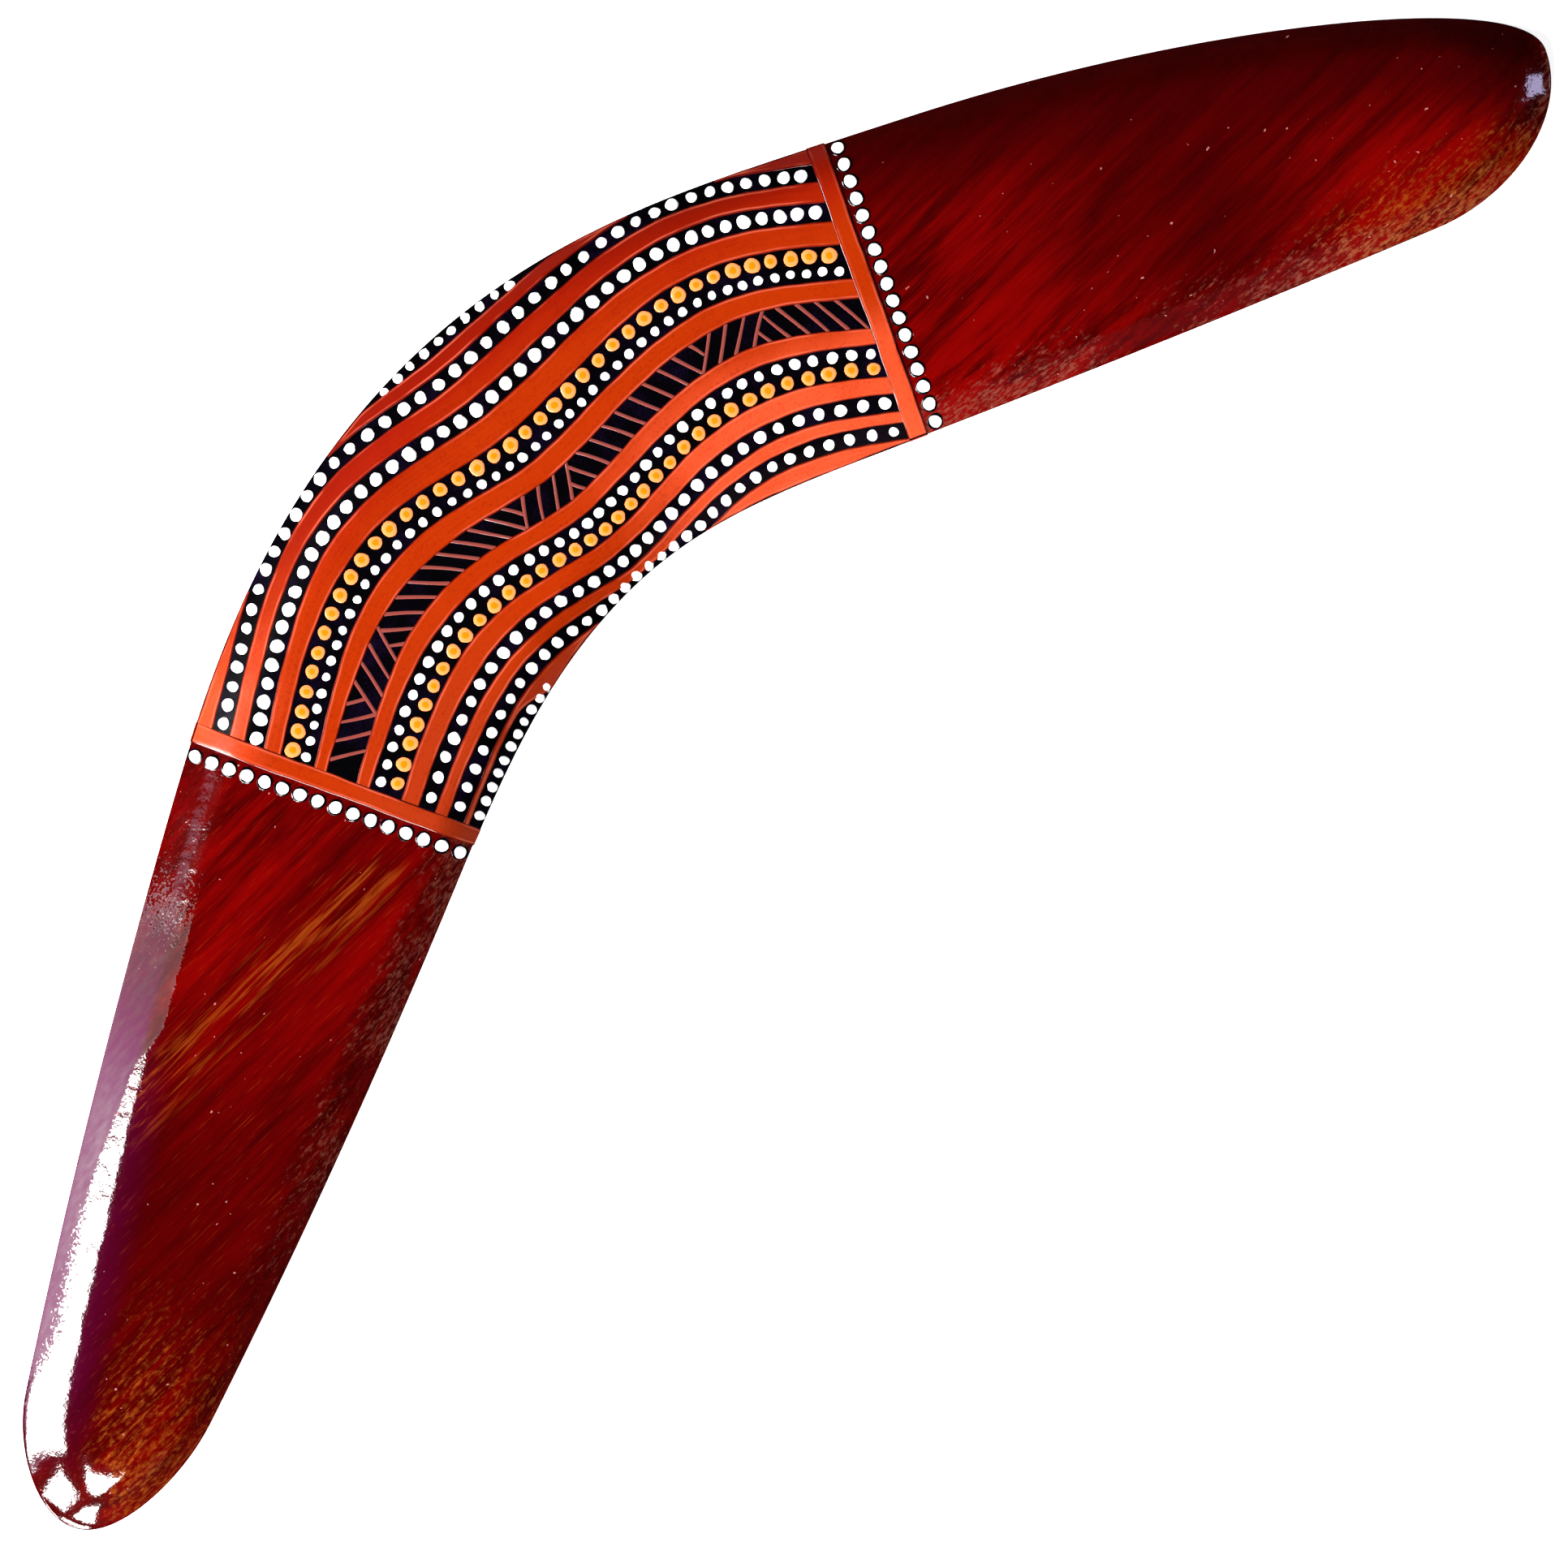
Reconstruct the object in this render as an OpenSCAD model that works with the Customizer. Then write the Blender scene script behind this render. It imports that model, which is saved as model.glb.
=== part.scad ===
// Hand-painted returning boomerang: one carved wooden blank and the paint laid on it.
// The blank lies on its flat underside. X runs from tip to tip, the elbow points
// along +Y, and the origin is the middle of the bounding box at the underside.
// The elbow has a black ground coat. Ochre stripes laid over it leave nine wavy black
// lines between them, and the lines carry rows of dots or hatching.
// Places on the blank are given as s, the distance along the centre line from the
// elbow (negative on the left arm), and d, the distance across it (positive towards
// the outer edge). Every coat, stripe and dot follows the crown of the blank.

/* [Outline] */
// Centre line length of the left arm, elbow to tip
left_arm_len = 223; // [190:1:250]
// Centre line length of the right arm, elbow to tip
right_arm_len = 217; // [190:1:250]
// Angle of the left arm off the line from tip to tip
left_sweep = 26; // [15:1:35]
// Angle of the right arm off the line from tip to tip
right_sweep = 25; // [15:1:35]
// Length of the left arm over which the elbow turns
left_elbow_len = 85; // [50:1:110]
// Length of the right arm over which the elbow turns
right_elbow_len = 70; // [50:1:110]
// Width at the elbow
elbow_w = 61.6; // [50:0.1:70]
// Width that the left arm tapers to at its tip
left_tip_w = 29; // [24:1:55]
// Width that the right arm tapers to at its tip
right_tip_w = 47; // [24:1:55]
// Length of the rounding on the left tip, outer and inner edge
left_tip_round = [22, 28]; // [15:1:130]
// Length of the rounding on the right tip, outer and inner edge
right_tip_round = [120, 31]; // [15:1:130]

/* [Section] */
// Thickness of the wood at the middle
thickness = 9; // [7:0.5:12]
// Height of the rim, where the upper face meets the edge
rim_h = 3.2; // [2:0.1:5]
// Rounding of the lower edge
lower_round = 0.8; // [0.4:0.1:1.5]
// Width of the blunt roll-off on the leading edges
leading_bevel = 9; // [6:0.5:16]
// Width of the long roll-off on the trailing edges
trailing_bevel = 15; // [8:0.5:22]
// Length of the roll-off towards each tip
tip_bevel = 22; // [10:1:40]

/* [Paint] */
// Where the black ground coat starts, along the centre line
ground_from = -72; // [-90:0.5:-50]
// Where the black ground coat ends
ground_to = 79; // [50:0.5:95]
// Thickness of the black ground coat
ground_t = 0.15; // [0.1:0.01:0.3]
// Width of the ochre strip across each end of the ground coat
strip_w = 3.7; // [2:0.1:6]
// Thickness of an ochre stripe or strip
stripe_t = 0.12; // [0.08:0.01:0.25]
// Thickness of a hatch stroke
stroke_t = 0.08; // [0.05:0.01:0.15]
// Height of a dot as a share of its radius
dot_dome = 0.36; // [0.2:0.01:0.5]

/* [Waves] */
// Where the lines dip furthest from the outer edge
wave_dip = 5.6; // [-20:0.1:20]
// Rise of a wave from the dip to its left and to its right crest
wave_rise = [9, 7.9]; // [4:0.1:10]
// Distance from the dip to the left crest (before the waves draw out) and to the right crest
wave_half_len = [34, 45]; // [30:1:60]
// Share by which the left wave draws out with each millimetre from the dip
wave_draw_out = 0.0046; // [0:0.0001:0.006]

/* [Dots] */
// Share by which a dot may be larger or smaller than its row's size
dot_size_play = 0.10; // [0:0.01:0.2]
// Distance by which a dot may stray from its place
dot_place_play = 0.14; // [0:0.01:0.3]
// Number of dots in the left and in the right end row
end_dots = [16, 17]; // [10:1:17]
// Diameter of the white dots in the end rows
end_dot_d = 2.5; // [1.5:0.1:3.2]
// Diameter of the black dot under each of them
end_under_d = 3.3; // [2:0.1:3.4]

/* [Hatching] */
// Length from one group of full strokes to the next
hatch_pitch = 48; // [40:1:60]
// Where the middle group of full strokes starts
hatch_start = -6.4; // [-20:0.1:10]
// Spacing of the strokes
stroke_gap = 3.7; // [2.5:0.1:5]
// Distance along the line that a stroke leans
stroke_lean = 4.2; // [2:0.1:7]
// Width of a stroke
stroke_w = 0.6; // [0.3:0.05:1]

/* [Hidden] */

BLACK = [0.03, 0.025, 0.03];
WHITE = [0.97, 0.97, 0.95];
OCHRE = [0.80, 0.20, 0.06];
STROKE = [0.62, 0.28, 0.24];
APRICOT = [1.0, 0.72, 0.45];
AMBER = [1.0, 0.57, 0.05];
WOOD = [0.40, 0.02, 0.01];

// The black lines, from the outer edge to the inner edge: [place across at the dip, width].
// Lines 1 and 9 run off the edge at their crests, so only a part of each shows.
LINES = [
    [29.4, 3.0], [23.0, 3.4], [14.6, 3.8], [3.5, 6.8], [-7.6, 6.0],
    [-17.6, 6.4], [-26.1, 3.4], [-31.6, 3.2], [-35.4, 3.2],
];

// The ochre stripes between the lines. Each is a list of the stretches that show:
// [line above, line below, first s, last s], with the outer edge as line 0 and the
// inner edge as line 10.
STRIPE_FROM = ground_from + strip_w;
STRIPE_TO = ground_to - strip_w;
STRIPES = [
    [[0, 2, STRIPE_FROM, -44], [1, 2, -19, 41], [0, 2, 57, STRIPE_TO]],
    [[2, 3, STRIPE_FROM, STRIPE_TO]],
    [[3, 4, STRIPE_FROM, STRIPE_TO]],
    [[4, 5, STRIPE_FROM, STRIPE_TO]],
    [[5, 6, STRIPE_FROM, STRIPE_TO]],
    [[6, 7, STRIPE_FROM, STRIPE_TO]],
    [[7, 8, STRIPE_FROM, STRIPE_TO]],
    [[8, 9, STRIPE_FROM, -12], [8, 10, 26, STRIPE_TO]],
];
RUN_OFF = [-42, -29]; // where line 9 runs off the inner edge

// A row of dots is [place across at the dip, dot diameter, number, first s, last s, seed].
WHITE_1 = [29.4, 1.9, 10, -5.5, 19.5, 11];
WHITE_2 = [23.0, 2.4, 42, -66.8, 72.6, 12];
WHITE_3 = [14.6, 2.6, 43, -67.0, 72.8, 13];
APRICOT_4 = [5.1, 2.9, 39, -66.6, 72.6, 14];
WHITE_4 = [1.7, 1.8, 47, -67.0, 73.4, 15];
WHITE_6 = [-16.1, 2.1, 39, -66.4, 73.8, 16];
APRICOT_6 = [-19.1, 2.8, 34, -65.6, 73.2, 17];
WHITE_7 = [-26.1, 2.3, 33, -65.6, 73.2, 18];
WHITE_8 = [-31.6, 2.1, 33, -65.2, 73.0, 19];
WHITE_9 = [-35.4, 1.9, 11, -65.6, -32.6, 20];
CENTRE_SHARE = 0.68; // an amber centre's diameter as a share of its apricot dot's
FLAT_SHARE = 0.8; // height of an apricot dot, which is flat, as a share of a dome's

STATIONS = 46; // along each arm
ACROSS = 20; // cells over the top, from edge to edge
LINE_STEP = 1; // along the centre line, when its heading is summed
FILM_STEP = 3; // along a coat or stripe
EDGE_KEEP = 0.1; // a stripe or dot stays this far inside the edge
THINNEST = 0.3; // width of a stripe where it runs out at an edge
BED = 0.04; // a stripe beds this far into the ground coat
DOT_BED = 0.06; // a dot beds this far into the paint under it
UNDER_T = 0.12; // how far a thin under dot stands above the wood
FN = 24;

// ---- centre line and outline ----

function arm_len(s) = s < 0 ? left_arm_len : right_arm_len;
function heading(s) =
    let (sweep = s < 0 ? left_sweep : right_sweep,
         turn = s < 0 ? left_elbow_len : right_elbow_len)
    -sign(s) * sweep * (abs(s) < turn ? sin(90 * abs(s) / turn) : 1);

// Half of the centre line, from the elbow out, as points LINE_STEP apart.
function walk(way, last) = [
    for (i = 0, p = [0, 0]; i <= last;
         h = heading(way * (i + 0.5) * LINE_STEP),
         p = p + way * LINE_STEP * [cos(h), sin(h)],
         i = i + 1) p
];
LEFT_LINE = walk(-1, left_arm_len / LINE_STEP + 2);
RIGHT_LINE = walk(1, right_arm_len / LINE_STEP + 2);

function centre(s) =
    let (line = s < 0 ? LEFT_LINE : RIGHT_LINE,
         at = abs(s) / LINE_STEP,
         i = floor(at))
    line[i] + (at - i) * (line[i + 1] - line[i]);

// Half width on the outer (side 0) or inner (side 1) edge, with its rounded tip.
function half_w(s, side) =
    let (len = arm_len(s),
         tip_w = s < 0 ? left_tip_w : right_tip_w,
         cap = s < 0 ? left_tip_round[side] : right_tip_round[side],
         q = max(0, min(1, (abs(s) - len + cap) / cap)))
    (elbow_w - (elbow_w - tip_w) * pow(s / len, 2)) / 2 * sqrt(1 - q * q);

function flat_place(s, d) =
    let (h = heading(s)) centre(s) + d * [-sin(h), cos(h)];

// Stations crowd together towards the rounded tips.
function station(arm, i) = arm * arm_len(arm) * sin(90 * i / STATIONS);
S = [
    for (i = [STATIONS - 1:-1:1]) station(-1, i),
    for (i = [0:STATIONS - 1]) station(1, i)
];
RIM = concat(
    [flat_place(-left_arm_len, 0)],
    [for (s = S) flat_place(s, half_w(s, 0))],
    [flat_place(right_arm_len, 0)],
    [for (i = [len(S) - 1:-1:0]) flat_place(S[i], -half_w(S[i], 1))]
);
RIM_X = [for (p = RIM) p[0]];
RIM_Y = [for (p = RIM) p[1]];
ORIGIN = [min(RIM_X) + max(RIM_X), min(RIM_Y) + max(RIM_Y) + ground_t] / 2;

function place(s, d, z) =
    let (p = flat_place(s, d) - ORIGIN) [p[0], p[1], z];

// ---- crown of the upper face ----

function roll(x) = x >= 1 ? 1 : 1 - pow(1 - max(x, 0), 2.2);
function ease(x) = let (q = max(0, min(1, x))) q * q * (3 - 2 * q);
// The leading edges are the inner edge of the left arm and the outer edge of the right.
function bevel(s, side) =
    let (right = ease(0.5 + s / left_elbow_len), lead = side == 0 ? right : 1 - right)
    trailing_bevel + (leading_bevel - trailing_bevel) * lead;
function top_z(s, d) =
    rim_h + (thickness - rim_h)
        * roll((half_w(s, 0) - d) / bevel(s, 0))
        * roll((half_w(s, 1) + d) / bevel(s, 1))
        * roll((arm_len(s) - abs(s)) / tip_bevel);
// Place of the grid line j over the top, from the outer edge (0) to the inner edge.
function across(s, j) = half_w(s, 0) - j / ACROSS * (half_w(s, 0) + half_w(s, 1));

// ---- meshes ----

// Two triangles for the quad a b c d, clockwise from outside.
function quad(a, b, c, d) = [[a, b, c], [a, c, d]];
function flat(list) = [for (group = list) for (item = group) item];

// A film lofted through sections, each with m points under it and m over it.
module film(under, over) {
    n = len(under);
    m = len(under[0]);
    points = flat([for (i = [0:n - 1]) concat(under[i], over[i])]);
    function u(i, j) = 2 * m * i + j;
    function o(i, j) = 2 * m * i + m + j;
    faces = flat(concat(
        [for (i = [0:n - 2]) for (j = [0:m - 2])
            quad(o(i, j), o(i + 1, j), o(i + 1, j + 1), o(i, j + 1))],
        [for (i = [0:n - 2]) for (j = [0:m - 2])
            quad(u(i, j), u(i, j + 1), u(i + 1, j + 1), u(i + 1, j))],
        [for (i = [0:n - 2]) quad(u(i, 0), u(i + 1, 0), o(i + 1, 0), o(i, 0))],
        [for (i = [0:n - 2])
            quad(o(i, m - 1), o(i + 1, m - 1), u(i + 1, m - 1), u(i, m - 1))],
        [for (j = [0:m - 2]) quad(u(0, j), o(0, j), o(0, j + 1), u(0, j + 1))],
        [for (j = [0:m - 2])
            quad(u(n - 1, j), u(n - 1, j + 1), o(n - 1, j + 1), o(n - 1, j))]
    ));
    polyhedron(points, faces);
}

// ---- the wood ----

module carved_blank() {
    n = len(S);
    ring = len(RIM);
    row = ACROSS - 1; // inner points of one row over the top
    function along(i) = RIM[(i + 1) % ring] - RIM[(i + ring - 1) % ring];
    function inward(i) = let (t = along(i)) [t[1], -t[0]] / norm(t);
    function at(p, z) = [p[0] - ORIGIN[0], p[1] - ORIGIN[1], z];
    points = concat(
        [for (p = RIM) at(p, rim_h)],
        [for (p = RIM) at(p, lower_round)],
        [for (i = [0:ring - 1]) at(RIM[i] + lower_round * inward(i), 0)],
        flat([for (s = S) [for (j = [1:row]) place(s, across(s, j), top_z(s, across(s, j)))]])
    );
    outer = function (i) i + 1;
    inner = function (i) ring - 1 - i;
    function top(i, j) =
        j == 0 ? outer(i) : j == ACROSS ? inner(i) : 3 * ring + row * i + j - 1;
    tip_l = 0;
    tip_r = n + 1;
    faces = flat(concat(
        [for (i = [0:n - 2]) for (j = [0:ACROSS - 1])
            quad(top(i, j), top(i + 1, j), top(i + 1, j + 1), top(i, j + 1))],
        [for (j = [0:ACROSS - 1]) [[tip_l, top(0, j), top(0, j + 1)]]],
        [for (j = [0:ACROSS - 1]) [[tip_r, top(n - 1, j + 1), top(n - 1, j)]]],
        [for (level = [0:1]) for (i = [0:ring - 1])
            let (a = level * ring + i, b = level * ring + (i + 1) % ring)
            quad(a, a + ring, b + ring, b)],
        [for (i = [0:n - 2])
            let (low = 2 * ring)
            quad(low + outer(i), low + inner(i), low + inner(i + 1), low + outer(i + 1))],
        [[[2 * ring + tip_l, 2 * ring + inner(0), 2 * ring + outer(0)]]],
        [[[2 * ring + tip_r, 2 * ring + outer(n - 1), 2 * ring + inner(n - 1)]]]
    ));
    color(WOOD) polyhedron(points, faces);
}

// ---- the ground coat and the ochre stripes ----

function steps(from, to) =
    let (n = ceil((to - from) / FILM_STEP)) [for (i = [0:n]) from + (to - from) * i / n];

module black_ground_coat() {
    path = steps(ground_from, ground_to);
    under = [for (s = path) concat(
        [place(s, half_w(s, 0), lower_round)],
        [for (j = [0:ACROSS]) place(s, across(s, j), top_z(s, across(s, j)))],
        [place(s, -half_w(s, 1), lower_round)]
    )];
    over = [for (s = path) concat(
        [place(s, half_w(s, 0) + ground_t, lower_round)],
        [for (j = [0:ACROSS])
            let (d = across(s, j), wrap = j == 0 ? 1 : j == ACROSS ? -1 : 0)
            place(s, d + wrap * ground_t, top_z(s, d) + ground_t)],
        [place(s, -half_w(s, 1) - ground_t, lower_round)]
    )];
    color(BLACK) film(under, over);
}

// How far what lies at the place dip where the waves dip has risen at s. The waves are
// strongest near the middle of the arm's width, and longer towards the inner edge.
WAVE_MIDDLE = -6.6;
WAVE_FADE = 58; // distance from the middle at which the waves would have died out
LONGER = [0.135, 0.105]; // of the left and right half wave, for each millimetre inwards
MORE_DRAWN_OUT = 0.00004; // for each millimetre inwards
function wave(s, dip) =
    let (arm = s < wave_dip ? 0 : 1,
         x = abs(s - wave_dip),
         run = arm == 0 ? x * (1 - (wave_draw_out - MORE_DRAWN_OUT * dip) * x) : x,
         half_len = wave_half_len[arm] - LONGER[arm] * dip,
         rise = wave_rise[arm] * (1 - pow((dip - WAVE_MIDDLE) / WAVE_FADE, 2)))
    rise * (1 - cos(180 * run / half_len)) / 2;
function keep_in(s, d, margin) =
    max(-half_w(s, 1) + margin, min(half_w(s, 0) - margin, d));

// The edge of a line at s: the upper one for side 1 and the lower one for side -1.
function run_off(s) = ease((s - RUN_OFF[0]) / (RUN_OFF[1] - RUN_OFF[0]));
function line_edge(s, line, side) =
    line == 0 ? half_w(s, 0)
    : line == 10 ? -half_w(s, 1)
    : LINES[line - 1][0] + wave(s, LINES[line - 1][0]) + side * LINES[line - 1][1] / 2
        - (line == 9 ? LINES[8][1] * run_off(s) : 0);

// A film of ochre on the ground coat, between d = hi and d = lo at each s of the path.
module ochre_film(path, his, los) {
    rails = [for (i = [0:len(path) - 1])
        let (s = path[i],
             hi = keep_in(s, his[i], EDGE_KEEP),
             lo = min(keep_in(s, los[i], EDGE_KEEP), hi - THINNEST))
        [for (d = [hi, (hi + lo) / 2, lo]) [s, d, top_z(s, d) + ground_t - BED]]];
    under = [for (rail = rails) [for (p = rail) place(p[0], p[1], p[2])]];
    over = [for (rail = rails) [for (p = rail) place(p[0], p[1], p[2] + stripe_t)]];
    film(under, over);
}

module ochre_stripe(number) {
    color(OCHRE) for (part = STRIPES[number - 1]) {
        path = steps(part[2], part[3]);
        ochre_film(path, [for (s = path) line_edge(s, part[0], -1)],
            [for (s = path) line_edge(s, part[1], 1)]);
    }
}

// An ochre strip right across the arm. It is as many cells wide as the blank's own crown.
module ochre_end_strip(from, to) {
    path = [from, to];
    under = [for (s = path) [for (j = [0:ACROSS])
        let (d = keep_in(s, across(s, j), EDGE_KEEP)) place(s, d, top_z(s, d) + ground_t - BED)]];
    over = [for (row = under) [for (p = row) p + [0, 0, stripe_t]]];
    color(OCHRE) film(under, over);
}

// ---- the dots ----

// A dot of paint. A "dome" is one dab, a "flat" is one that takes a "centre" on top of it,
// and an "under" is a thin one that shows as a ring around the dome on it.
module dot(r, kind) {
    h = r * dot_dome;
    top = FLAT_SHARE * h;
    core = CENTRE_SHARE * r;
    profile =
        kind == "dome" ? [[0, 0], [r, 0], [0.9 * r, 0.5 * h], [0.62 * r, 0.85 * h], [0, h]]
        : kind == "flat" ? [[0, 0], [r, 0], [0.92 * r, 0.6 * h], [core, top], [0, top]]
        : kind == "centre" ? [[0, top], [core, top], [0.6 * core, 1.1 * h], [0, 1.2 * h]]
        : [[0, 0], [r, 0], [r, UNDER_T + DOT_BED], [0, UNDER_T + DOT_BED]];
    rotate_extrude($fn = FN) polygon(profile);
}

// A dot standing square on the crown at s and d, lifted off the wood by the paint under it.
module stand_on_crown(s, d, lift) {
    reach = 0.4;
    slope = atan((top_z(s, d + reach) - top_z(s, d - reach)) / (2 * reach));
    translate(place(s, d, top_z(s, d) + lift - DOT_BED))
        rotate([0, 0, heading(s)]) rotate([slope, 0, 0]) children();
}

module dot_row(row, kind) {
    count = row[2];
    size = rands(-dot_size_play, dot_size_play, count, row[5]);
    stray = rands(-dot_place_play, dot_place_play, 2 * count, row[5] + 100);
    for (i = [0:count - 1]) {
        r = row[1] / 2 * (1 + size[i]);
        s = row[3] + (row[4] - row[3]) * i / (count - 1) + stray[2 * i];
        d = row[0] + wave(s, row[0]) + stray[2 * i + 1];
        stand_on_crown(s, keep_in(s, d, EDGE_KEEP + r), ground_t) dot(r, kind);
    }
}

module white_dots(row) { color(WHITE) dot_row(row, "dome"); }
module apricot_dots(row) { color(APRICOT) dot_row(row, "flat"); }
module amber_centres(row) { color(AMBER) dot_row(row, "centre"); }

// The rows across the arm, just outside each end of the ground coat.
ROW_GAP = 2.2; // from the end of the ground coat to the middle of the dots
module end_row(side, diameter, kind, lift) {
    s = side == 0 ? ground_from - ROW_GAP : ground_to + ROW_GAP;
    margin = EDGE_KEEP + end_under_d / 2;
    from = half_w(s, 0) - margin;
    to = margin - half_w(s, 1);
    for (i = [0:end_dots[side] - 1]) {
        d = from + (to - from) * i / (end_dots[side] - 1);
        stand_on_crown(s, d, lift) dot(diameter / 2, kind);
    }
}
module end_black_dots(side) { color(BLACK) end_row(side, end_under_d, "under", 0); }
module end_white_dots(side) { color(WHITE) end_row(side, end_dot_d, "dome", UNDER_T); }

// ---- the hatching on line 5 ----

// A stroke between two points [s, v] on the line, v being 0 at its lower edge and 1 at its upper.
module stroke(from, to) {
    line = LINES[4];
    function on_line(p) =
        let (q = place(p[0], line[0] + wave(p[0], line[0]) + (p[1] - 0.5) * line[1], 0))
        [q[0], q[1]];
    a = on_line(from);
    b = on_line(to);
    side = let (t = b - a) stroke_w / 2 * [-t[1], t[0]] / norm(t);
    translate([0, 0, thickness + ground_t])
        linear_extrude(stroke_t)
            polygon([a + side, a - side, b - side, b + side]);
}

FULL_STROKES = 4; // leaning one way, in each group
FIRST_STROKES = [for (k = [-2:2]) hatch_start + k * hatch_pitch];
SHORTEST = 0.15; // of the line's width

module hatch_strokes() {
    group_len = (FULL_STROKES - 1) * stroke_gap;
    color(STROKE) for (k = [0:len(FIRST_STROKES) - 2]) {
        // the full strokes, which lean forward
        for (i = [0:FULL_STROKES - 1]) {
            s = FIRST_STROKES[k] + i * stroke_gap;
            if (s > STRIPE_FROM && s + stroke_lean < STRIPE_TO)
                stroke([s, 0], [s + stroke_lean, 1]);
        }
        // the strokes that lean back and fill in between two groups, each ending on a full stroke
        left = FIRST_STROKES[k] + group_len;
        right = FIRST_STROKES[k + 1];
        for (s = [left - stroke_lean + stroke_gap:stroke_gap:right + stroke_lean]) {
            hi = min(0.98, (s + stroke_lean - left) / (2 * stroke_lean) - 0.05);
            lo = max(0.02, (s + stroke_lean - right) / (2 * stroke_lean) + 0.05);
            if (hi - lo > SHORTEST && s + stroke_lean * (1 - hi) > STRIPE_FROM
                && s + stroke_lean * (1 - lo) < STRIPE_TO)
                stroke([s + stroke_lean * (1 - hi), hi], [s + stroke_lean * (1 - lo), lo]);
        }
    }
}

carved_blank();
black_ground_coat();
ochre_stripe(1);  // ochre_stripe_1
ochre_stripe(2);  // ochre_stripe_2
ochre_stripe(3);  // ochre_stripe_3
ochre_stripe(4);  // ochre_stripe_4
ochre_stripe(5);  // ochre_stripe_5
ochre_stripe(6);  // ochre_stripe_6
ochre_stripe(7);  // ochre_stripe_7
ochre_stripe(8);  // ochre_stripe_8
ochre_end_strip(ground_from, STRIPE_FROM);  // ochre_left_end_strip
ochre_end_strip(STRIPE_TO, ground_to);  // ochre_right_end_strip
white_dots(WHITE_1);  // line_1_white_dots
white_dots(WHITE_2);  // line_2_white_dots
white_dots(WHITE_3);  // line_3_white_dots
apricot_dots(APRICOT_4);  // line_4_apricot_dots
amber_centres(APRICOT_4);  // line_4_amber_centres
white_dots(WHITE_4);  // line_4_white_dots
hatch_strokes();  // line_5_hatch_strokes
white_dots(WHITE_6);  // line_6_white_dots
apricot_dots(APRICOT_6);  // line_6_apricot_dots
amber_centres(APRICOT_6);  // line_6_amber_centres
white_dots(WHITE_7);  // line_7_white_dots
white_dots(WHITE_8);  // line_8_white_dots
white_dots(WHITE_9);  // line_9_white_dots
end_black_dots(0);  // left_end_black_dots
end_white_dots(0);  // left_end_white_dots
end_black_dots(1);  // right_end_black_dots
end_white_dots(1);  // right_end_white_dots
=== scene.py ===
"""A hand-painted wooden boomerang: a carved, stained and varnished blank with a painted elbow.

Places on the blank are given as s, the distance along its centre line from the elbow
(negative on the left arm), and d, the distance across it (positive towards the outer edge).
"""

import bpy
import numpy as np
from mathutils import Matrix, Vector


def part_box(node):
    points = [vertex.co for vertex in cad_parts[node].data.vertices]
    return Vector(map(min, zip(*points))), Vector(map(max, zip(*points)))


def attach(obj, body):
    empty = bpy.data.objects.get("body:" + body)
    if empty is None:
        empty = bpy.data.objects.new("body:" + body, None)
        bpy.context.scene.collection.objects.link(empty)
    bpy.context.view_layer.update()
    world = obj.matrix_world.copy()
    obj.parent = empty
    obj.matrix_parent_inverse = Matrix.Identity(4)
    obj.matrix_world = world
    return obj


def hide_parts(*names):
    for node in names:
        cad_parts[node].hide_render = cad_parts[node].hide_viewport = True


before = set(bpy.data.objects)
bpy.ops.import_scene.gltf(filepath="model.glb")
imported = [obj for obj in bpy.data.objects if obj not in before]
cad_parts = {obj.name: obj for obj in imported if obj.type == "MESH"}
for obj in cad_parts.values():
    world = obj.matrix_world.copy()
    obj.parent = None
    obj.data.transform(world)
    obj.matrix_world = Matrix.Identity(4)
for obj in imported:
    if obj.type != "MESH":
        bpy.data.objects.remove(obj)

bl_info = {
    "name": "Painted Boomerang",
    "version": (1, 0, 0),
    "blender": (4, 5, 0),
    "location": "View3D > Sidebar > Boomerang",
    "description": "Builds a painted wooden boomerang around its packed frame",
    "category": "Object",
}

MM = 0.001
INNER, OUTER = 0, 1
LINE_STEP = 0.25 * MM  # of the table that holds the centre line
SPARE_STEPS = 20  # of that table, past each tip
CROWN_POWER = 2.2  # of the roll-off towards an edge: 1 is a flat bevel, more is rounder
SAME_POINT = 1e-6  # CAD points this close are one
SECTION_GAP = 0.4 * MM  # sections of a CAD stripe are further apart than this
MEETING = 1e-7  # mesh points this close are merged
SMOOTH_ANGLE = 50  # degrees; sharper edges stay sharp
BED = 0.05 * MM  # how deep the ground coat and the dots stand in what is under them
STRIPE_BED = 0.04 * MM
EDGE_SINK = 0.02 * MM  # how far under the ground coat a stripe's edge ends
AMBER_RISE = 0.08 * MM  # an amber middle starts this far above the ground coat
UNDER_DOME = 0.12  # height of a black dot under a white one, as a share of its radius
RAGGED = 0.05  # how far a dot strays from round, as a share of its radius
FULL_STROKES = 4  # leaning one way, in each group of the hatching
LAMP_DISTANCE = 2.5


# ---- sizes and colours that a user would change ----

def length(name, description, default):
    return bpy.props.FloatProperty(
        name=name, description=description, default=default, precision=5, unit="LENGTH")


def angle(name, description, degrees):
    return bpy.props.FloatProperty(
        name=name, description=description, default=np.radians(degrees), unit="ROTATION")


def share(name, description, default):
    return bpy.props.FloatProperty(
        name=name, description=description, default=default, subtype="FACTOR", min=0.0, max=4.0)


def colour(name, description, default):
    return bpy.props.FloatVectorProperty(
        name=name, description=description, default=default, subtype="COLOR", size=3,
        min=0.0, max=1.0)


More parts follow.
